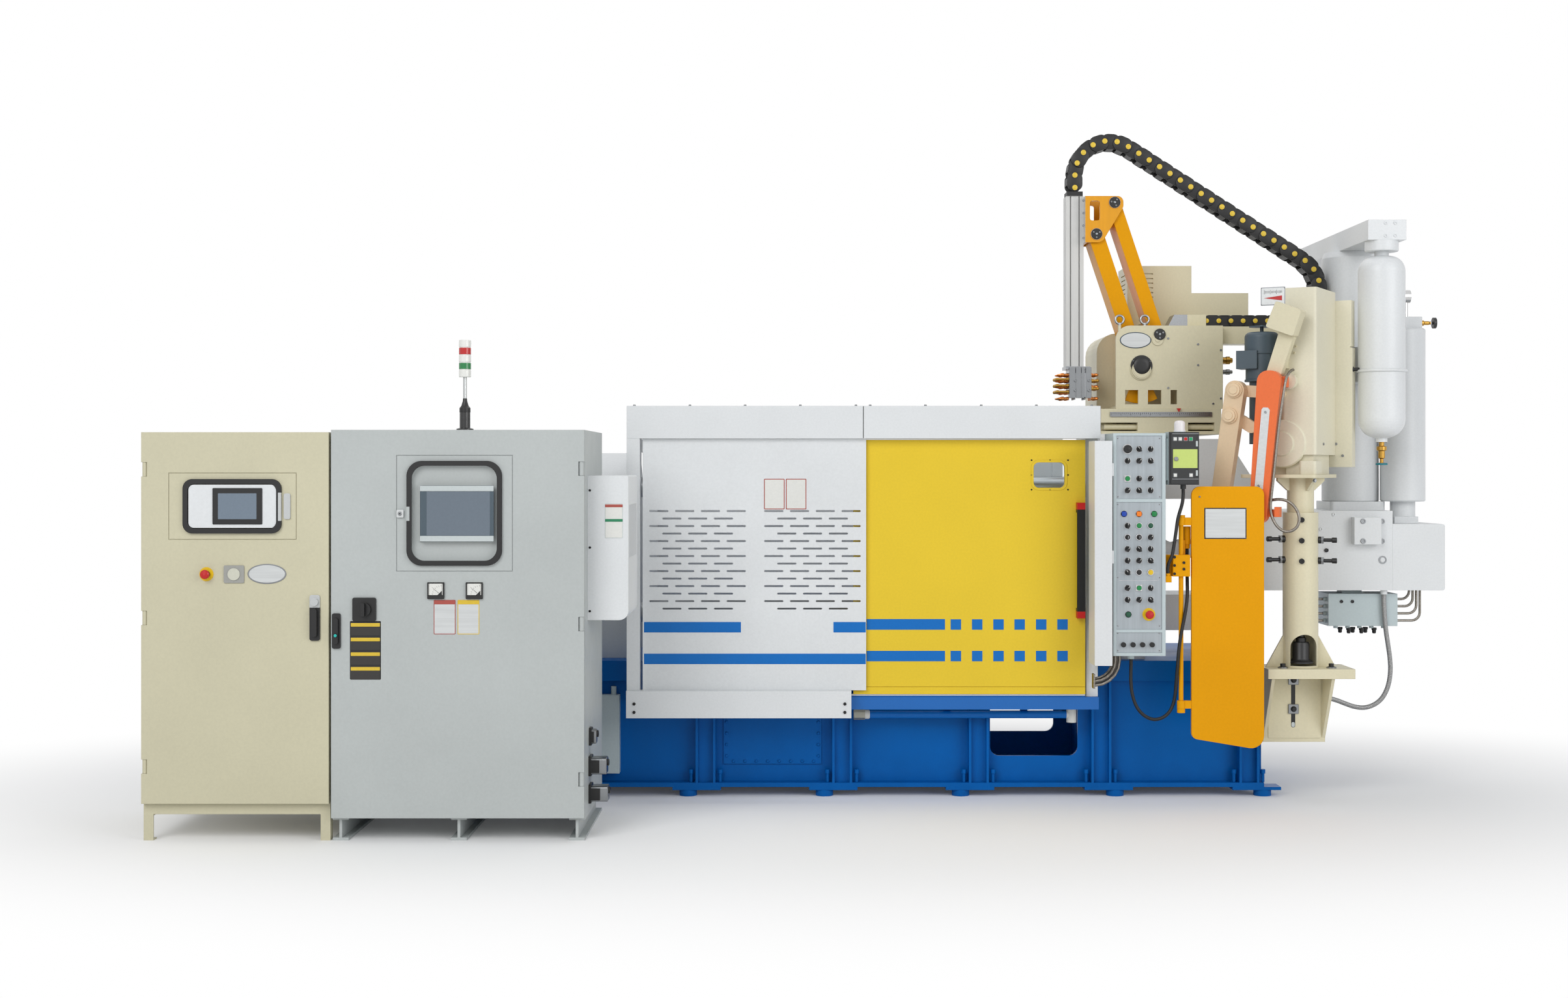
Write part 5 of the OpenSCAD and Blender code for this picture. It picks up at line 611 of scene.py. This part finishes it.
def to_pixel(x, y, z):
    """Pixel of the photograph at a point in machine millimetres."""
    k = pixel_scale(y)
    return VANISH_X + x / k, VANISH_Y - (z - CAMERA_HEIGHT * 1000) / k


def bolts(b, places, *names, d=14, h=7, mat=0, kind="socket"):
    """Bolts at pixels of the photograph on the nodes."""
    for px, py in places:
        getattr(b, kind + "_bolt")(seen(px, py, *names), d, h, mat)


def cap(b, place, d, h, cover=0, screws=1, count=3, turn=0.5):
    """Round cap with a ring of screws and one in the middle."""
    r = d / 2
    b.lathe(place, [(r, 0), (r, h - 2), (r - 2, h)], cover, 36)
    b.lathe(place @ shift(z=h), [(r * 0.2, -1), (r * 0.2, 1.6), (r * 0.12, 2.6)], screws, 12)
    for x, y in round_about(r * 0.62, count, turn):
        b.socket_bolt(place @ shift(x, y, h), d * 0.16, 3.2, screws)


def bare_plate(b, place, w, h, face=0, rim=1, border=4, thick=1.6, r=4, screws=None):
    """Plate without words, with a rim and, where screws names their material, four screws."""
    b.prism(place, round_rect(w, h, r), -1, thick * 0.6, rim, 0.3)
    b.prism(place, round_rect(w - 2 * border, h - 2 * border, max(r - border, 0.8)), 0, thick, face, 0.3)
    if screws is not None:
        x, y = w / 2 - border * 0.9, h / 2 - border * 0.9
        for corner in ((-x, -y), (-x, y), (x, -y), (x, y)):
            b.socket_bolt(place @ shift(*corner), 5, thick + 1.6, screws)


# Guards: painted stripes, bare plates and bolts
PANEL_Y, DOOR_Y, RAIL_Y = -665, -640, -720


def stripes(name, boxes, y, body):
    b = Build()
    for x0, x1, z0, z1 in boxes:
        b.prism(front((x0 + x1) / 2, (z0 + z1) / 2, y), round_rect(x1 - x0, z1 - z0, 1.0, 2), -1, 0.8)
    b.done(name, [STRIPES], "blue_paint", body)


stripes("panel_stripes", [(-717, -255, 811, 861), (186, 340, 811, 861), (-717, 340, 660, 710)],
        PANEL_Y, "root")
stripes("door_stripes", [(345, 720, 822, 873), (345, 720, 671, 721)] + [
    (x - 25, x + 25, z, z + 50) for x in (772, 874, 976, 1077, 1180, 1282) for z in (822, 671)],
    DOOR_Y, "front_door")

b = Build()
for x in (-96, 8):
    bare_plate(b, front(x, 1471, PANEL_Y), 98, 146, 0, 1, 4)
b.done("guard_plates", [OFF_WHITE, RED_RIM], "white_paint")

b = Build()
for x in (-763, -498, -235, 28, 293, 361, 624, 890, 1153, 1417):
    b.hex_bolt(upward(x, -670, 1891), 11, 7, 0)
for x, z in ((-760, 477), (-760, 437), (239, 477), (239, 437)):
    b.socket_bolt(front(x, z, RAIL_Y), 15, 5, 1)
b.done("guard_bolts", [BOLT, INK], "steel")

# Grey cabinet
b = Build()
for x, mat in ((-1492, 2), (-1390.5, 3)):
    bare_plate(b, front(x, 958.7, CAB_Y), 93, 147, 0, mat, 3)
bare_plate(b, front(-1830, 817, CAB_Y), 132, 250, 1, 1, 3)
for k in range(4):
    b.prism(front(-1830, 926 - 62.5 * k, CAB_Y - 1.4), round_rect(124, 15, 1.5, 2), -0.2, 0.6, 4)
    b.prism(front(-1830, 899 - 62.5 * k, CAB_Y - 1.4), round_rect(124, 36, 1.5, 2), -0.2, 0.4, 6)
for x, mat in ((-1492, 2), (-1390.5, 4)):
    b.prism(front(x, 1022, CAB_Y - 1.4), round_rect(87, 17, 1, 1), 0, 1, mat)
lock = front(-1681, 1400.5, CAB_Y)
b.prism(lock, round_rect(30, 34, 4), 7, 10, 0, 0.8)
b.lathe(lock, [(9, 9), (9, 11.5), (7, 13)], 5, 20)
b.lathe(lock, [(3, 11.6), (3, 13.6)], 1, 12)
b.done("grey_door_plates", [BARE, INK, RED_RIM, YELLOWS, skin("plate_band_yellow", (0.85, 0.72, 0.2), 0.5),
                            BOLT, skin("plate_dark", (0.16, 0.15, 0.14), 0.45)],
       "panel_silver", "grey_door_leaf")

b = Build()
middle = front(-1438, 1401, CAB_Y - 8.5)
b.prism(middle, round_rect(314, 240, 3), 0, 4, 1, 1)
for y in (107, -107):
    b.prism(middle @ shift(y=y), round_rect(314, 24, 3), 0, 7, 0, 1.5)
b.prism(middle @ shift(6), round_rect(270, 188, 2), 3, 5.2, 2, 0.6)
b.done("grey_screen", [PALE, SLATE_BLUE, SCREEN], "dark_plastic", "grey_door_leaf")

b = Build()
for x in (-1529, -1365):
    dial = front(x, 1077.5, CAB_Y - 7)
    b.prism(dial, round_rect(52, 52, 3), 0, 1.2, 0, 0.3)
    b.rings(dial, levels([(26, -26), (26, -6), (6, -26)], 1.0, 2.6), 1)
    b.rings(dial, levels([(-16, 10), (-15, 8.6), (12, -16), (13, -15)], 1.0, 1.9), 1)
    for k in range(7):
        a = math.radians(92 + 14 * k)
        c, s = math.cos(a), math.sin(a)
        tick = [(24 + r * c - t * s, -22 + r * s + t * c)
                for r, t in ((40, 0.5), (40, -0.5), (35, -0.5), (35, 0.5))]
        b.rings(dial, levels(tick, 1.0, 1.6), 1)
b.lathe(front(-1952, 882, CAB_Y - 30), [(6.5, -3), (6.5, 0.6), (5.5, 1.4)], 2, 20)
b.done("meters", [OFF_WHITE, INK, CYAN], "lamp_white", "grey_door_leaf")

# Cream cabinet
b = Build()
middle = front(-2391.5, 1432, CAB_Y)
b.prism(middle, round_rect(382, 184, 22), -1, 9.8, 0, 0.5)
device = middle @ shift(18.5)
b.prism(device, round_rect(212, 155, 4), 9, 14, 1, 1.5)
b.prism(device, round_rect(164, 110, 2), 13, 14.8, 2, 0.4)
b.done("cream_screen", [WHITES, INK, SCREEN2], "dark_plastic", "cream_door_leaf")


def oval(b, place, share_x, share_y, low, high, mat):
    """One layer of an oval plate without words, as a share of the plate's half sizes."""
    outline = [(83 * share_x * x, 43 * share_y * y) for x, y in round_about(1, 40)]
    b.prism(place, outline, low, high, mat, 0.6)


b = Build()
oval(b, front(-2250, 1143, CAB_Y), 1, 1, -1, 2.2, 1)
oval(b, front(-2250, 1143, CAB_Y), 0.93, 0.87, 0, 3.0, 0)
b.done("cream_oval_plate", [BARE, BOLT], "panel_silver", "cream_door_leaf")

# Signal tower's foot
b = Build()
b.lathe(upward(-1434, -1450, 1758), [
    (34, 0), (34, 7), (22, 12), (19, 30), (23, 44), (23, 58), (18, 66), (18, 74), (24, 80), (24, 98),
    (16, 108), (10, 128), (9, 140)], 0, 28)
b.done("tower_foot", [INK], "dark_plastic")

# Long drag chain
CHAIN_X, CHAIN_RISE, CHAIN_TOP, CHAIN_R = 1429, 3005, 3088, 175
SLOPE_A, SLOPE_B, CHAIN_END = (1698.8, 3235.1), (2596.8, 2656.4), (2677, 2479)
END_TOP = 2509.3
CHAIN_PITCH = 63.5


def chain_path():
    """Centre line of the chain: up, round an arc, down a slope and round an arc to its end."""
    def arc(x, z, angles):
        return [(x + CHAIN_R * math.cos(a), z + CHAIN_R * math.sin(a)) for a in angles]

    left, right = CHAIN_X + CHAIN_R, CHAIN_END[0] - CHAIN_R
    last = math.atan2(SLOPE_A[1] - CHAIN_TOP, SLOPE_A[0] - left)
    first = math.atan2(SLOPE_B[1] - END_TOP, SLOPE_B[0] - right)
    points = [(CHAIN_X, CHAIN_RISE), (CHAIN_X, CHAIN_TOP)]
    points += arc(left, CHAIN_TOP, [math.pi + (last - math.pi) * k / 40 for k in range(1, 41)])
    points += [SLOPE_B] + arc(right, END_TOP, [first * (1 - k / 30) for k in range(1, 31)]) + [CHAIN_END]
    return [Vector(p) for p in points]


def along(points, distance):
    """Point at a distance along a line of points."""
    for p, q in zip(points, points[1:]):
        span = (q - p).length
        if distance <= span or q is points[-1]:
            return p + (q - p) * (distance / span)
        distance -= span


def drag_links(b, joints, width, height, cap_d, first_out=True):
    """Links of a drag chain between joints given in machine X and Z."""
    for i, (p, q) in enumerate(zip(joints, joints[1:])):
        d = q - p
        long = d.length
        middle = (p + q) / 2
        place = facing(at(middle.x, 0, middle.y), (0, -1, 0), (-d.y / long, 0, d.x / long))
        outer = (i % 2 == 0) == first_out
        y1 = width / 2 - (0.5 if outer else 6.5)
        outline = round_rect(long + height * 0.42, height - 2, height * 0.42, 6)
        for low in (y1 - 6, -y1):
            top = [(x * 0.97, y * 0.96, low + 6) for x, y in outline]
            b.rings(place, levels(outline, low, low + 5) + [top])
        for s in (1, -1):
            bar = round_rect(long * 0.55, 6, 2, 2)
            b.rings(place @ shift(y=s * (height / 2 - 4)), levels(bar, 6 - width / 2, width / 2 - 6))
        for side in (1, -1):
            hub = place @ shift(-long / 2, 0, side * (width / 2 - 0.5))
            if side < 0:
                hub = hub @ Matrix.Rotation(math.pi, 4, "X")
            b.lathe(hub, [(cap_d * 0.62, -2), (cap_d * 0.62, 0), (cap_d * 0.5, 0.3)], 0, 20)
            b.lathe(hub, [(cap_d / 2, -1), (cap_d / 2, 1.6), (cap_d / 2 - 1.6, 2.6)], 1, 20)


line = chain_path()
total = sum((q - p).length for p, q in zip(line, line[1:]))
count = round((total - 40) / CHAIN_PITCH)
joints = [along(line, 20 + (total - 30) * k / count) for k in range(count + 1)]
# The two halves of the chain meet at the joint cut
cut, bend = 13, 6
CHAIN_LOOK = [MATERIALS["chain_plastic"], YELLOWS]
b = Build()
drag_links(b, joints[:cut + 1], 100, 80, 27)
chain_a = b.done("chain_lower", CHAIN_LOOK, "chain_plastic", None)
b = Build()
drag_links(b, joints[cut:], 100, 80, 27, cut % 2 == 0)
chain_b = b.done("chain_upper", CHAIN_LOOK, "chain_plastic", None)
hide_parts("long_drag_chain")
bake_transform(chain_a)
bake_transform(chain_b)

b = Build()
drag_links(b, [Vector((2100 + 62 * k, 2346)) for k in range(7)], 100, 60, 24)
short_chain = b.done("short_chain", CHAIN_LOOK, "chain_plastic")
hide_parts("short_drag_chain")

# Sprayer
BRACKET_Y, SPRAYER_Y = -100, -125
b = Build()
cap(b, front(1531, 2782, BRACKET_Y + 2), 56, 9)
cap(b, front(1623, 2942, BRACKET_Y + 2), 56, 9, turn=0.9)
for py in (308.0, 327.3, 346.3, 365.6):
    b.socket_bolt(front(*from_pixel(1663.8, py, BRACKET_Y), BRACKET_Y), 13, 6, 1)
b.done("bracket_caps", [INK, BOLT], "dark_plastic", "spray_tool")

b = Build()
disc = front(1754, 2111, SPRAYER_Y)
b.lathe(disc, [(55, 0), (55, 5), (53.5, 6.5), (43, 6.5), (43, 17), (39, 20), (20, 21), (1, 21.3)], 0, 48)
for x, y in round_about(49, 3, 0.5):
    b.socket_bolt(disc @ shift(x, y, 6.5), 7, 2.4, 1)
cap(b, front(1846, 2271, SPRAYER_Y), 58, 11)
bolts(b, [(1793.9, 519.9), (1793.9, 596.0), (1839.7, 528.8), (1839.7, 560.9), (1874.8, 537.9),
          (1874.8, 612.1), (1863.0, 620.1)], "sprayer_housing", d=11, h=4, mat=1)
b.prism(front(1851, 1866.5, -136), round_rect(515, 24, 1.5, 2), -1, 2.4, 1, 0.4)
for k in range(52):
    z, long = (1871, 7) if k % 5 else (1868, 13)
    b.prism(front(1598 + 9.9 * k, z, -138.4), round_rect(1.6, long, 0.4, 1), -0.3, 0.5, 0)
b.rings(front(1940, 1889, -137), levels([(-11, 8), (0, -11), (11, 8)], 0, 6), 2)
oval(b, front(1724, 2241.7, SPRAYER_Y), 0.96, 0.96, -1, 2.4, 3)
oval(b, front(1724, 2241.7, SPRAYER_Y), 0.9, 0.86, 0, 3.2, 4)
b.done("sprayer_fittings", [INK, BOLT, REDS, SLATE_BLUE, BARE], "dark_plastic")

b = Build()
for x, w in ((1413, 30), (1444, 26), (1467, 14), (1496, 28)):
    b.prism(front(x, 2030, -70), round_rect(w, 158, 2, 2), -1, 3, 1, 1)
for x in (1428, 1498):
    for z in (2040, 1990):
        b.socket_bolt(front(x, z, -73), 15, 6, 1)
LONG_NOZZLE = [(9, -2), (9, 10), (7, 12), (7, 22), (9.5, 24), (9.5, 36), (6, 40), (4.5, 50), (3, 58)]
SHORT_NOZZLE = [(9, -2), (9, 8), (6.5, 10), (6.5, 18), (8.5, 20), (8.5, 30), (4, 38)]
for side, x, heights, nozzle in ((-1, 1397, range(2070, 1940, -30), LONG_NOZZLE),
                                 (1, 1511, range(2070, 1940, -60), SHORT_NOZZLE)):
    for z in heights:
        for y in (-42, 0, 42):
            b.lathe(facing(at(x, y, z), (side, 0, 0)), nozzle, 0, 12)
b.done("spray_nozzles", [COPPER, BOLT], "steel", "spray_tool")

# Control box: selector knobs, button faces, plate screws and lines. Each row of KNOBS has a height
# and a letter for each column: s selector, b big button, and else the rim of a flush button
KNOBS = [(967, "bss"), (912, "sss"), (829, "qss"), (774, "sss"), (609, "spp"), (555, "kks"), (500, "sss"),
         (446, "sss"), (391, "spp"), (318, "sqs"), (263, "sss")]
b = Build()
for row, (height, kinds) in enumerate(KNOBS):
    for column, (x, kind) in enumerate(zip(BUTTON_X, kinds)):
        place = front(x, CTL_Z + height, PLATE_Y - 4)
        if kind == "s":
            b.lathe(place, [(13.5, -3), (13.5, 0), (12, 1.2), (10.2, 1.4), (10.2, 9), (9.4, 10)], 0, 24)
            turned = place @ Matrix.Rotation(math.radians((-38, 0, 34)[(row + column * 2) % 3]), 4, "Z")
            b.prism(turned, round_rect(8.6, 27, 3.2), 8, 24, 0, 1.2)
            b.prism(turned @ shift(y=8), round_rect(2.2, 9.5, 0.8, 2), 23.4, 24.3, 2, 0.2)
        elif kind == "b":
            b.lathe(place, [(17, -3), (17, 4), (15, 6), (15, 15), (13, 17.5), (6, 18.6), (1, 18.9)], 0, 30)
        else:
            b.ring(place, disc_outline(30, 30), disc_outline(24.4, 30), -3, 2.5, 1)
for x, z in ((1511.5, 1734), (1706.9, 1734), (1511.5, 1461), (1707.5, 1461), (1511.5, 1424.9), (1706, 1424.9),
             (1511.5, 1083.2), (1706, 1083.2), (1511.5, 858), (1706, 858), (1511.5, 822), (1706, 822),
             (1511.5, 742), (1706, 742)):
    b.socket_bolt(front(x, z, PLATE_Y), 7, 2, 1)
for z in (1446, 1070, 1105, 838):
    b.prism(front(1609, z, PLATE_Y), round_rect(188, 1.6, 0.5, 1), -0.2, 0.5, 1)
b.done("control_knobs", [INK, SHINY, OFF_WHITE], "dark_plastic")

# Pilot box's face and its beacon's band
b = Build()
for px, py, mat in ((1804.6, 674.3, 0), (1812.5, 674.3, 0), (1820.7, 674.3, 1), (1828.8, 674.3, 2),
                    (1804.8, 729.9, 0), (1829.1, 729.9, 0)):
    place = seen(px, py, "pilot_box")
    b.prism(place, round_rect(19, 19, 2, 2), -1, 1.4, 3, 0.4)
    b.prism(place, round_rect(14, 14, 2, 2), 0, 4, mat, 1)
b.prism(seen(1820.2, 704.5, "pilot_box"), round_rect(114, 88, 2, 2), -1, 1, 4, 0.3)
b.lathe(seen(1806, 704.9, "pilot_box"), [(10, 0), (10, 7), (7.5, 9)], 3, 20)
for px, py in ((1837.8, 681.6), (1837.8, 726.7)):
    b.prism(seen(px, py, "pilot_box"), round_rect(9, 26, 2, 2), -1, 5, 5, 1)
for py in (666.2, 735.9):
    b.prism(seen(1820.5, py, "pilot_box"), round_rect(124, 3, 1, 1), -1, 0.8, 3, 0.2)
b.done("pilot_face", [OFF_WHITE, REDS, GREENS, BOLT, LIME, PALE], "dark_plastic")
b = Build()
b.lathe(upward(1809, -800, 1819), [(24, -46), (24.6, -44), (24.6, -30), (23, -29)], 0, 30)
b.done("beacon_band", [REDS], "dark_plastic")

# Door: window pane and its screws
b = Build()
for x in (1134, 1222, 1308):
    for z in (1633, 1562, 1492):
        if (x, z) != (1222, 1562):
            b.socket_bolt(front(x, z, DOOR_Y), 8, 2.2, 0)
b.done("window_screws", [INK], "dark_plastic", "front_door")
b = Build()
b.prism(front(1222, 1562, -630), round_rect(156, 124, 18), 0, 3, 0, 0.5)
b.done("window_pane", [PANE], "dark_plastic", "front_door")

# Gate: bare plate with its rivets
b = Build()
bare_plate(b, seen(1881.8, 804, "ladle_gate"), 198, 146, 0, 1, 5, 2.0, 3)
bolts(b, [(1851.6, 781.2), (1881.7, 781.2), (1913.2, 782.2), (1912.8, 826.5), (1881.3, 826.5),
          (1851.0, 825.3)], "ladle_gate", d=6, h=4, mat=2)
bolts(b, [(1842.2, 763.1)], "ladle_gate", d=9, h=4, mat=2)
b.done("gate_plate", [BARE, INK, BOLT], "panel_silver", "gate_leaf")
CLAMP_Y = -825
b = Build()
CLAMP_BOLTS = [(1780, 1178), (1780, 1139), (1780, 1100), (1824, 1152), (1824, 1122)]
bolts(b, [to_pixel(x, CLAMP_Y, z) for x, z in CLAMP_BOLTS], "gate_rod", d=13, h=5)
b.done("gate_clamp_bolts", [INK], "steel")

# Ladler
b = Build()
plate = seen(1955, 455, "ladler_housing")
bare_plate(b, plate, 118, 88, 0, 1, 5, 2.4, 5, 1)
b.rings(plate, levels([(-44, -8), (44, -22), (44, 2)], 2.0, 3.4), 2)
for k in range(15):
    b.prism(plate @ shift(-42 + 6 * k, 20), round_rect(1.6, 12 if k % 5 else 19, 0.4, 1), 2.0, 3.2, 3)
b.done("ladler_gauge", [BARE, BOLT, REDS, INK], "panel_silver")
b = Build()
strip = [(-152, 1500), (-143, 1490), (-121, 1488), (-112, 1497), (-79, 1868), (-88, 1880), (-110, 1881),
         (-118, 1872)]
b.rings(ladler(0, -240, 0),
        levels(strip, -1, 2.4) + [[(x * 0.995 - 0.6, z * 0.9995 + 0.8, 3.4) for x, z in strip]])
for x, z in ((-131, 1512), (-99, 1858)):
    b.socket_bolt(ladler(x, -243, z), 12, 4, 1)
b.done("arm_insert", [BARE, BOLT], "panel_silver")
b = Build()
bolts(b, [(1989.9, 532.0), (1987.4, 541.8)], "ladler_housing", d=13, h=6, mat=0)
bolts(b, [(2032, 682), (2052, 682), (2062, 700)], "ladler_housing", d=13, h=5, mat=1)
bolts(b, [(2019.0, 738.1)], "ladler_plate", "pedestal_column", d=14, h=8, mat=1, kind="hex")
b.done("ladler_bolts", [CREAMY, BOLT], "robot_cream")

# Pedestal, its foot and the jack inside
b = Build()
bolts(b, [(1998.9, 798.6), (1998.9, 830.5), (1998.9, 862.1)], "pedestal_column", d=26, h=12)
for px, py in ((1971.9, 827.7), (1971.9, 859.6), (2024.6, 829.5), (2024.6, 861.1)):
    place = seen(px, py, "pedestal_column")
    b.lathe(place, [(17, -2), (17, 12), (16, 13), (9, 13), (9, 62), (11, 62), (13, 64), (13, 84),
                    (11, 86)], 0, 14)
    b.lathe(place, [(19, 14), (19, 24), (17, 25)], 1, 6)
b.done("pedestal_bolts", [INK, BOLT], "dark_plastic")
b = Build()
jack = upward(2418, -655, 665)
b.lathe(jack, [(58, 0), (58, 8), (44, 16), (40, 22), (40, 92), (36, 100), (24, 102), (24, 120), (17, 124),
               (17, 176), (22, 178), (22, 190), (20, 192)], 0, 28)
b.lathe(jack, [(18.5, 150), (18.5, 172), (17, 173)], 1, 24)
b.done("bottle_jack", [INK, BRASSY], "dark_plastic")
b = Build()
for px in (1970.2, 2044.6):
    place = upward((px - VANISH_X) * pixel_scale(-680), -680, 643)
    b.lathe(place, [(24, 0), (24, 5), (22, 6)], 1, 20)
    b.hex_bolt(place @ shift(z=6), 24, 16, 0)
b.done("pedestal_foot_bolts", [INK, BOLT], "dark_plastic")

# Injection unit
b = Build()
bolts(b, [(2093.3, 800.7), (2122.5, 800.7), (2093.3, 831.2), (2122.5, 831.2)], "injection_block",
      d=26, h=5, mat=2)
bolts(b, [(2048.1, 790.2), (2028.4, 813.0)], "injection_block", d=18, h=4, mat=0)
bolts(b, [(2036.8, 845.3)], "injection_block", d=20, h=8, mat=1)
port = seen(2123.2, 860.0, "injection_block")
b.ring(port, disc_outline(40, 28), disc_outline(28, 28), -1, 3, 2)
b.lathe(port, [(13, -1), (13, 2), (8, 3)], 0, 6)
for x, z in ((2865, 2783), (2912, 2783), (2865, 2722), (2912, 2722)):
    b.socket_bolt(front(x, z, -520), 17, 4, 0)
bolts(b, [(2060.0, 923.9), (2076.8, 923.9)], "hydraulic_box", d=16, h=6, mat=1)
b.lathe(facing(at(2750, -455, 2077), (-1, 0, 0)),
        [(9, -6), (9, 22), (15, 24), (15, 40), (11, 44), (7, 52)], 1, 18)
b.done("injection_bolts", [WHITES, INK, BOLT], "white_paint")

# Base: bolts of its cover plate
b = Build()
for k in range(8):
    b.hex_bolt(front(-298 + 56 * k, 164, -448), 12, 6, 0)
for k in range(7):
    for x in (-331, 117):
        b.hex_bolt(front(x, 190 + 55 * k, -448), 12, 6, 0)
b.done("hatch_bolts", [MATERIALS["blue_paint"]], "blue_paint")

# Connector hoods on the grey cabinet's side
b = Build()
for z, w, h, d in ((421, 64, 60, 40), (294, 96, 70, 86), (173, 92, 66, 92)):
    place = facing(at(-897, -1400, z), (1, 0, 0))
    b.prism(place, round_rect(w, h + 16, 6), 0, 12, 0, 2)
    b.prism(place, round_rect(w - 8, h, 8), 10, d - 8, 1, 3)
    b.lathe(place @ shift(y=h * 0.18), [(15, d - 14), (15, d - 2), (12, d)], 0, 18)
    for x in (2 - w / 2, w / 2 - 2):
        b.prism(place @ shift(x), round_rect(6, h * 0.8, 2.5), 8, d * 0.55, 0, 1)
b.done("connector_hoods", [INK, BOLT], "dark_plastic")

# Cooling unit: screws and bare plates
COOLER_Y = -1480
b = Build()
for z in (1498, 1250, 974):
    b.socket_bolt(front(-887, z, COOLER_Y), 10, 3, 0)
bare_plate(b, front(-783, 1366, COOLER_Y), 78, 150, 1, 2, 2)
for z, mat in ((1431, 3), (1368, 4)):
    b.prism(front(-783, z, COOLER_Y - 1.4), round_rect(76, 12, 1, 1), 0, 1, mat)
b.done("cooling_plates", [INK, OFF_WHITE, PALE, RED_RIM, skin("plate_band_green", (0.12, 0.50, 0.34), 0.45)],
       "white_paint")

# Joint of the two top beams
b = Build()
b.prism(front(328, 1813.5, -690), round_rect(3.5, 152, 1, 1), -0.5, 0.5, 0)
b.done("beam_joint", [INK], "dark_plastic")

# Pedestal bracket's face and clamps; its slot is painted shade, its lower end painted light
b = Build()
b.prism(front(2412, 440, -560), round_rect(256, 296, 6), -1, 4, 0, 1.5)
# Black sheet: painted shade inside the slot
b.prism(front(2405, 462, -564), round_rect(20, 236, 9), -1, 0.6, 1, 0.2)
# Pale patch: painted light on the slot's lower end
b.prism(front(2405, 358, -564.6), round_rect(16, 24, 7), -1, 0.5, 4, 0.2)
for z in (574, 434):
    b.prism(front(2405, z, -564), round_rect(50, 46, 3), -1, 9, 2, 1.5)
    b.hex_bolt(front(2405, z, -573), 20, 13, 3)
b.done("bracket_face", [CREAMY, INK, BOLT, INK, PALE], "robot_cream")

# Cable fittings of the sprayer and glands under the junction box
b = Build()
CONNECTOR = [(22, -3), (22, 12), (17, 14), (17, 28), (20, 30), (20, 48), (15, 50), (12, 62)]
for y, z, k, mat in ((-60, 2143, 1.0, 0), (-60, 2084, 0.7, 1), (10, 2143, 0.8, 1)):
    b.lathe(facing(at(2166, y, z), (1, 0, 0)), [(r * k, h) for r, h in CONNECTOR], mat, 20)
b.done("sprayer_connectors", [BRASSY, BOLT], "steel")
b = Build()
for k in range(6):
    gland = facing(at(2762 + 32 * k, -110 - 40 * (k % 2), 789), (0, 0, -1), (0, 1, 0))
    b.lathe(gland, [(13, -2), (13, 9), (10, 11), (10, 22), (7, 27), (5, 27)], 0, 14)
b.done("box_glands", [INK], "dark_plastic")


# Floor, world and lamps
def white_to_eye(tree, shader_out, target, kind, share, fade=None):
    """Mixes plain white of strength 1 into what the camera, gloss and glass see. fade gives the two
    distances from the middle between which the share grows to 1."""
    t = Tree(tree)
    path = t.add("LightPath").outputs
    mirrored = t.math("MAXIMUM", path["Is Camera Ray"], path["Is Glossy Ray"])
    looked = t.math("MAXIMUM", mirrored, path["Is Transmission Ray"])
    if fade:
        squeezed = t.vector("MULTIPLY", t.add("TexCoord").outputs["Object"], (0.6, 1, 1))
        away = t.add("VectorMath", squeezed, operation="LENGTH").outputs["Value"]
        share = t.add("MapRange", away, *fade, share, 1.0, interpolation_type="SMOOTHSTEP").outputs[0]
    white = t.add(kind, (1, 1, 1, 1), 1.0).outputs[0]
    mix = t.add("MixShader", t.math("MULTIPLY", looked, share), shader_out, white)
    t.link(mix.outputs[0], target)


floor = bpy.data.meshes.new("floor")
floor.from_pydata([(-30, -30, 0), (30, -30, 0), (30, 30, 0), (-30, 30, 0)], [], [(0, 1, 2, 3)])
floor_obj = bpy.data.objects.new("floor", floor)
bpy.context.scene.collection.objects.link(floor_obj)
ground = bpy.data.materials.new("floor")
ground.use_nodes = True
ground_tree = ground.node_tree
matt = ground_tree.nodes["Principled BSDF"]
matt.inputs["Base Color"].default_value = (0.95, 0.95, 0.95, 1)
matt.inputs["Roughness"].default_value = 0.9
white_to_eye(ground_tree, matt.outputs[0], ground_tree.nodes["Material Output"].inputs["Surface"],
             "Emission", 0.04, (1.5, 3.4))
floor.materials.append(ground)

world = bpy.data.worlds.new("world")
bpy.context.scene.world = world
world.use_nodes = True
sky = world.node_tree.nodes["Background"]
sky.inputs["Color"].default_value = (0.95, 0.97, 1.0, 1)
sky.inputs["Strength"].default_value = 0.42
white_to_eye(world.node_tree, sky.outputs[0], world.node_tree.nodes["World Output"].inputs["Surface"],
             "Background", 1.0)


def area_lamp(name, place, target, size, power):
    data = bpy.data.lights.new(name, "AREA")
    data.shape = "SQUARE"
    data.size = size
    data.energy = power
    lamp = bpy.data.objects.new(name, data)
    bpy.context.scene.collection.objects.link(lamp)
    lamp.location = place
    lamp.rotation_euler = (Vector(target) - Vector(place)).to_track_quat("-Z", "Y").to_euler()


area_lamp("key_lamp", (-5.0, -9.5, 7.0), (0, 0, 1.2), 6.0, 500)
area_lamp("fill_lamp", (7.5, -8.0, 4.5), (0.5, 0, 1.2), 6.0, 330)
area_lamp("top_lamp", (0, 1.5, 7.0), (0, 0, 1.0), 6.0, 110)
bpy.context.scene.view_settings.view_transform = "Standard"
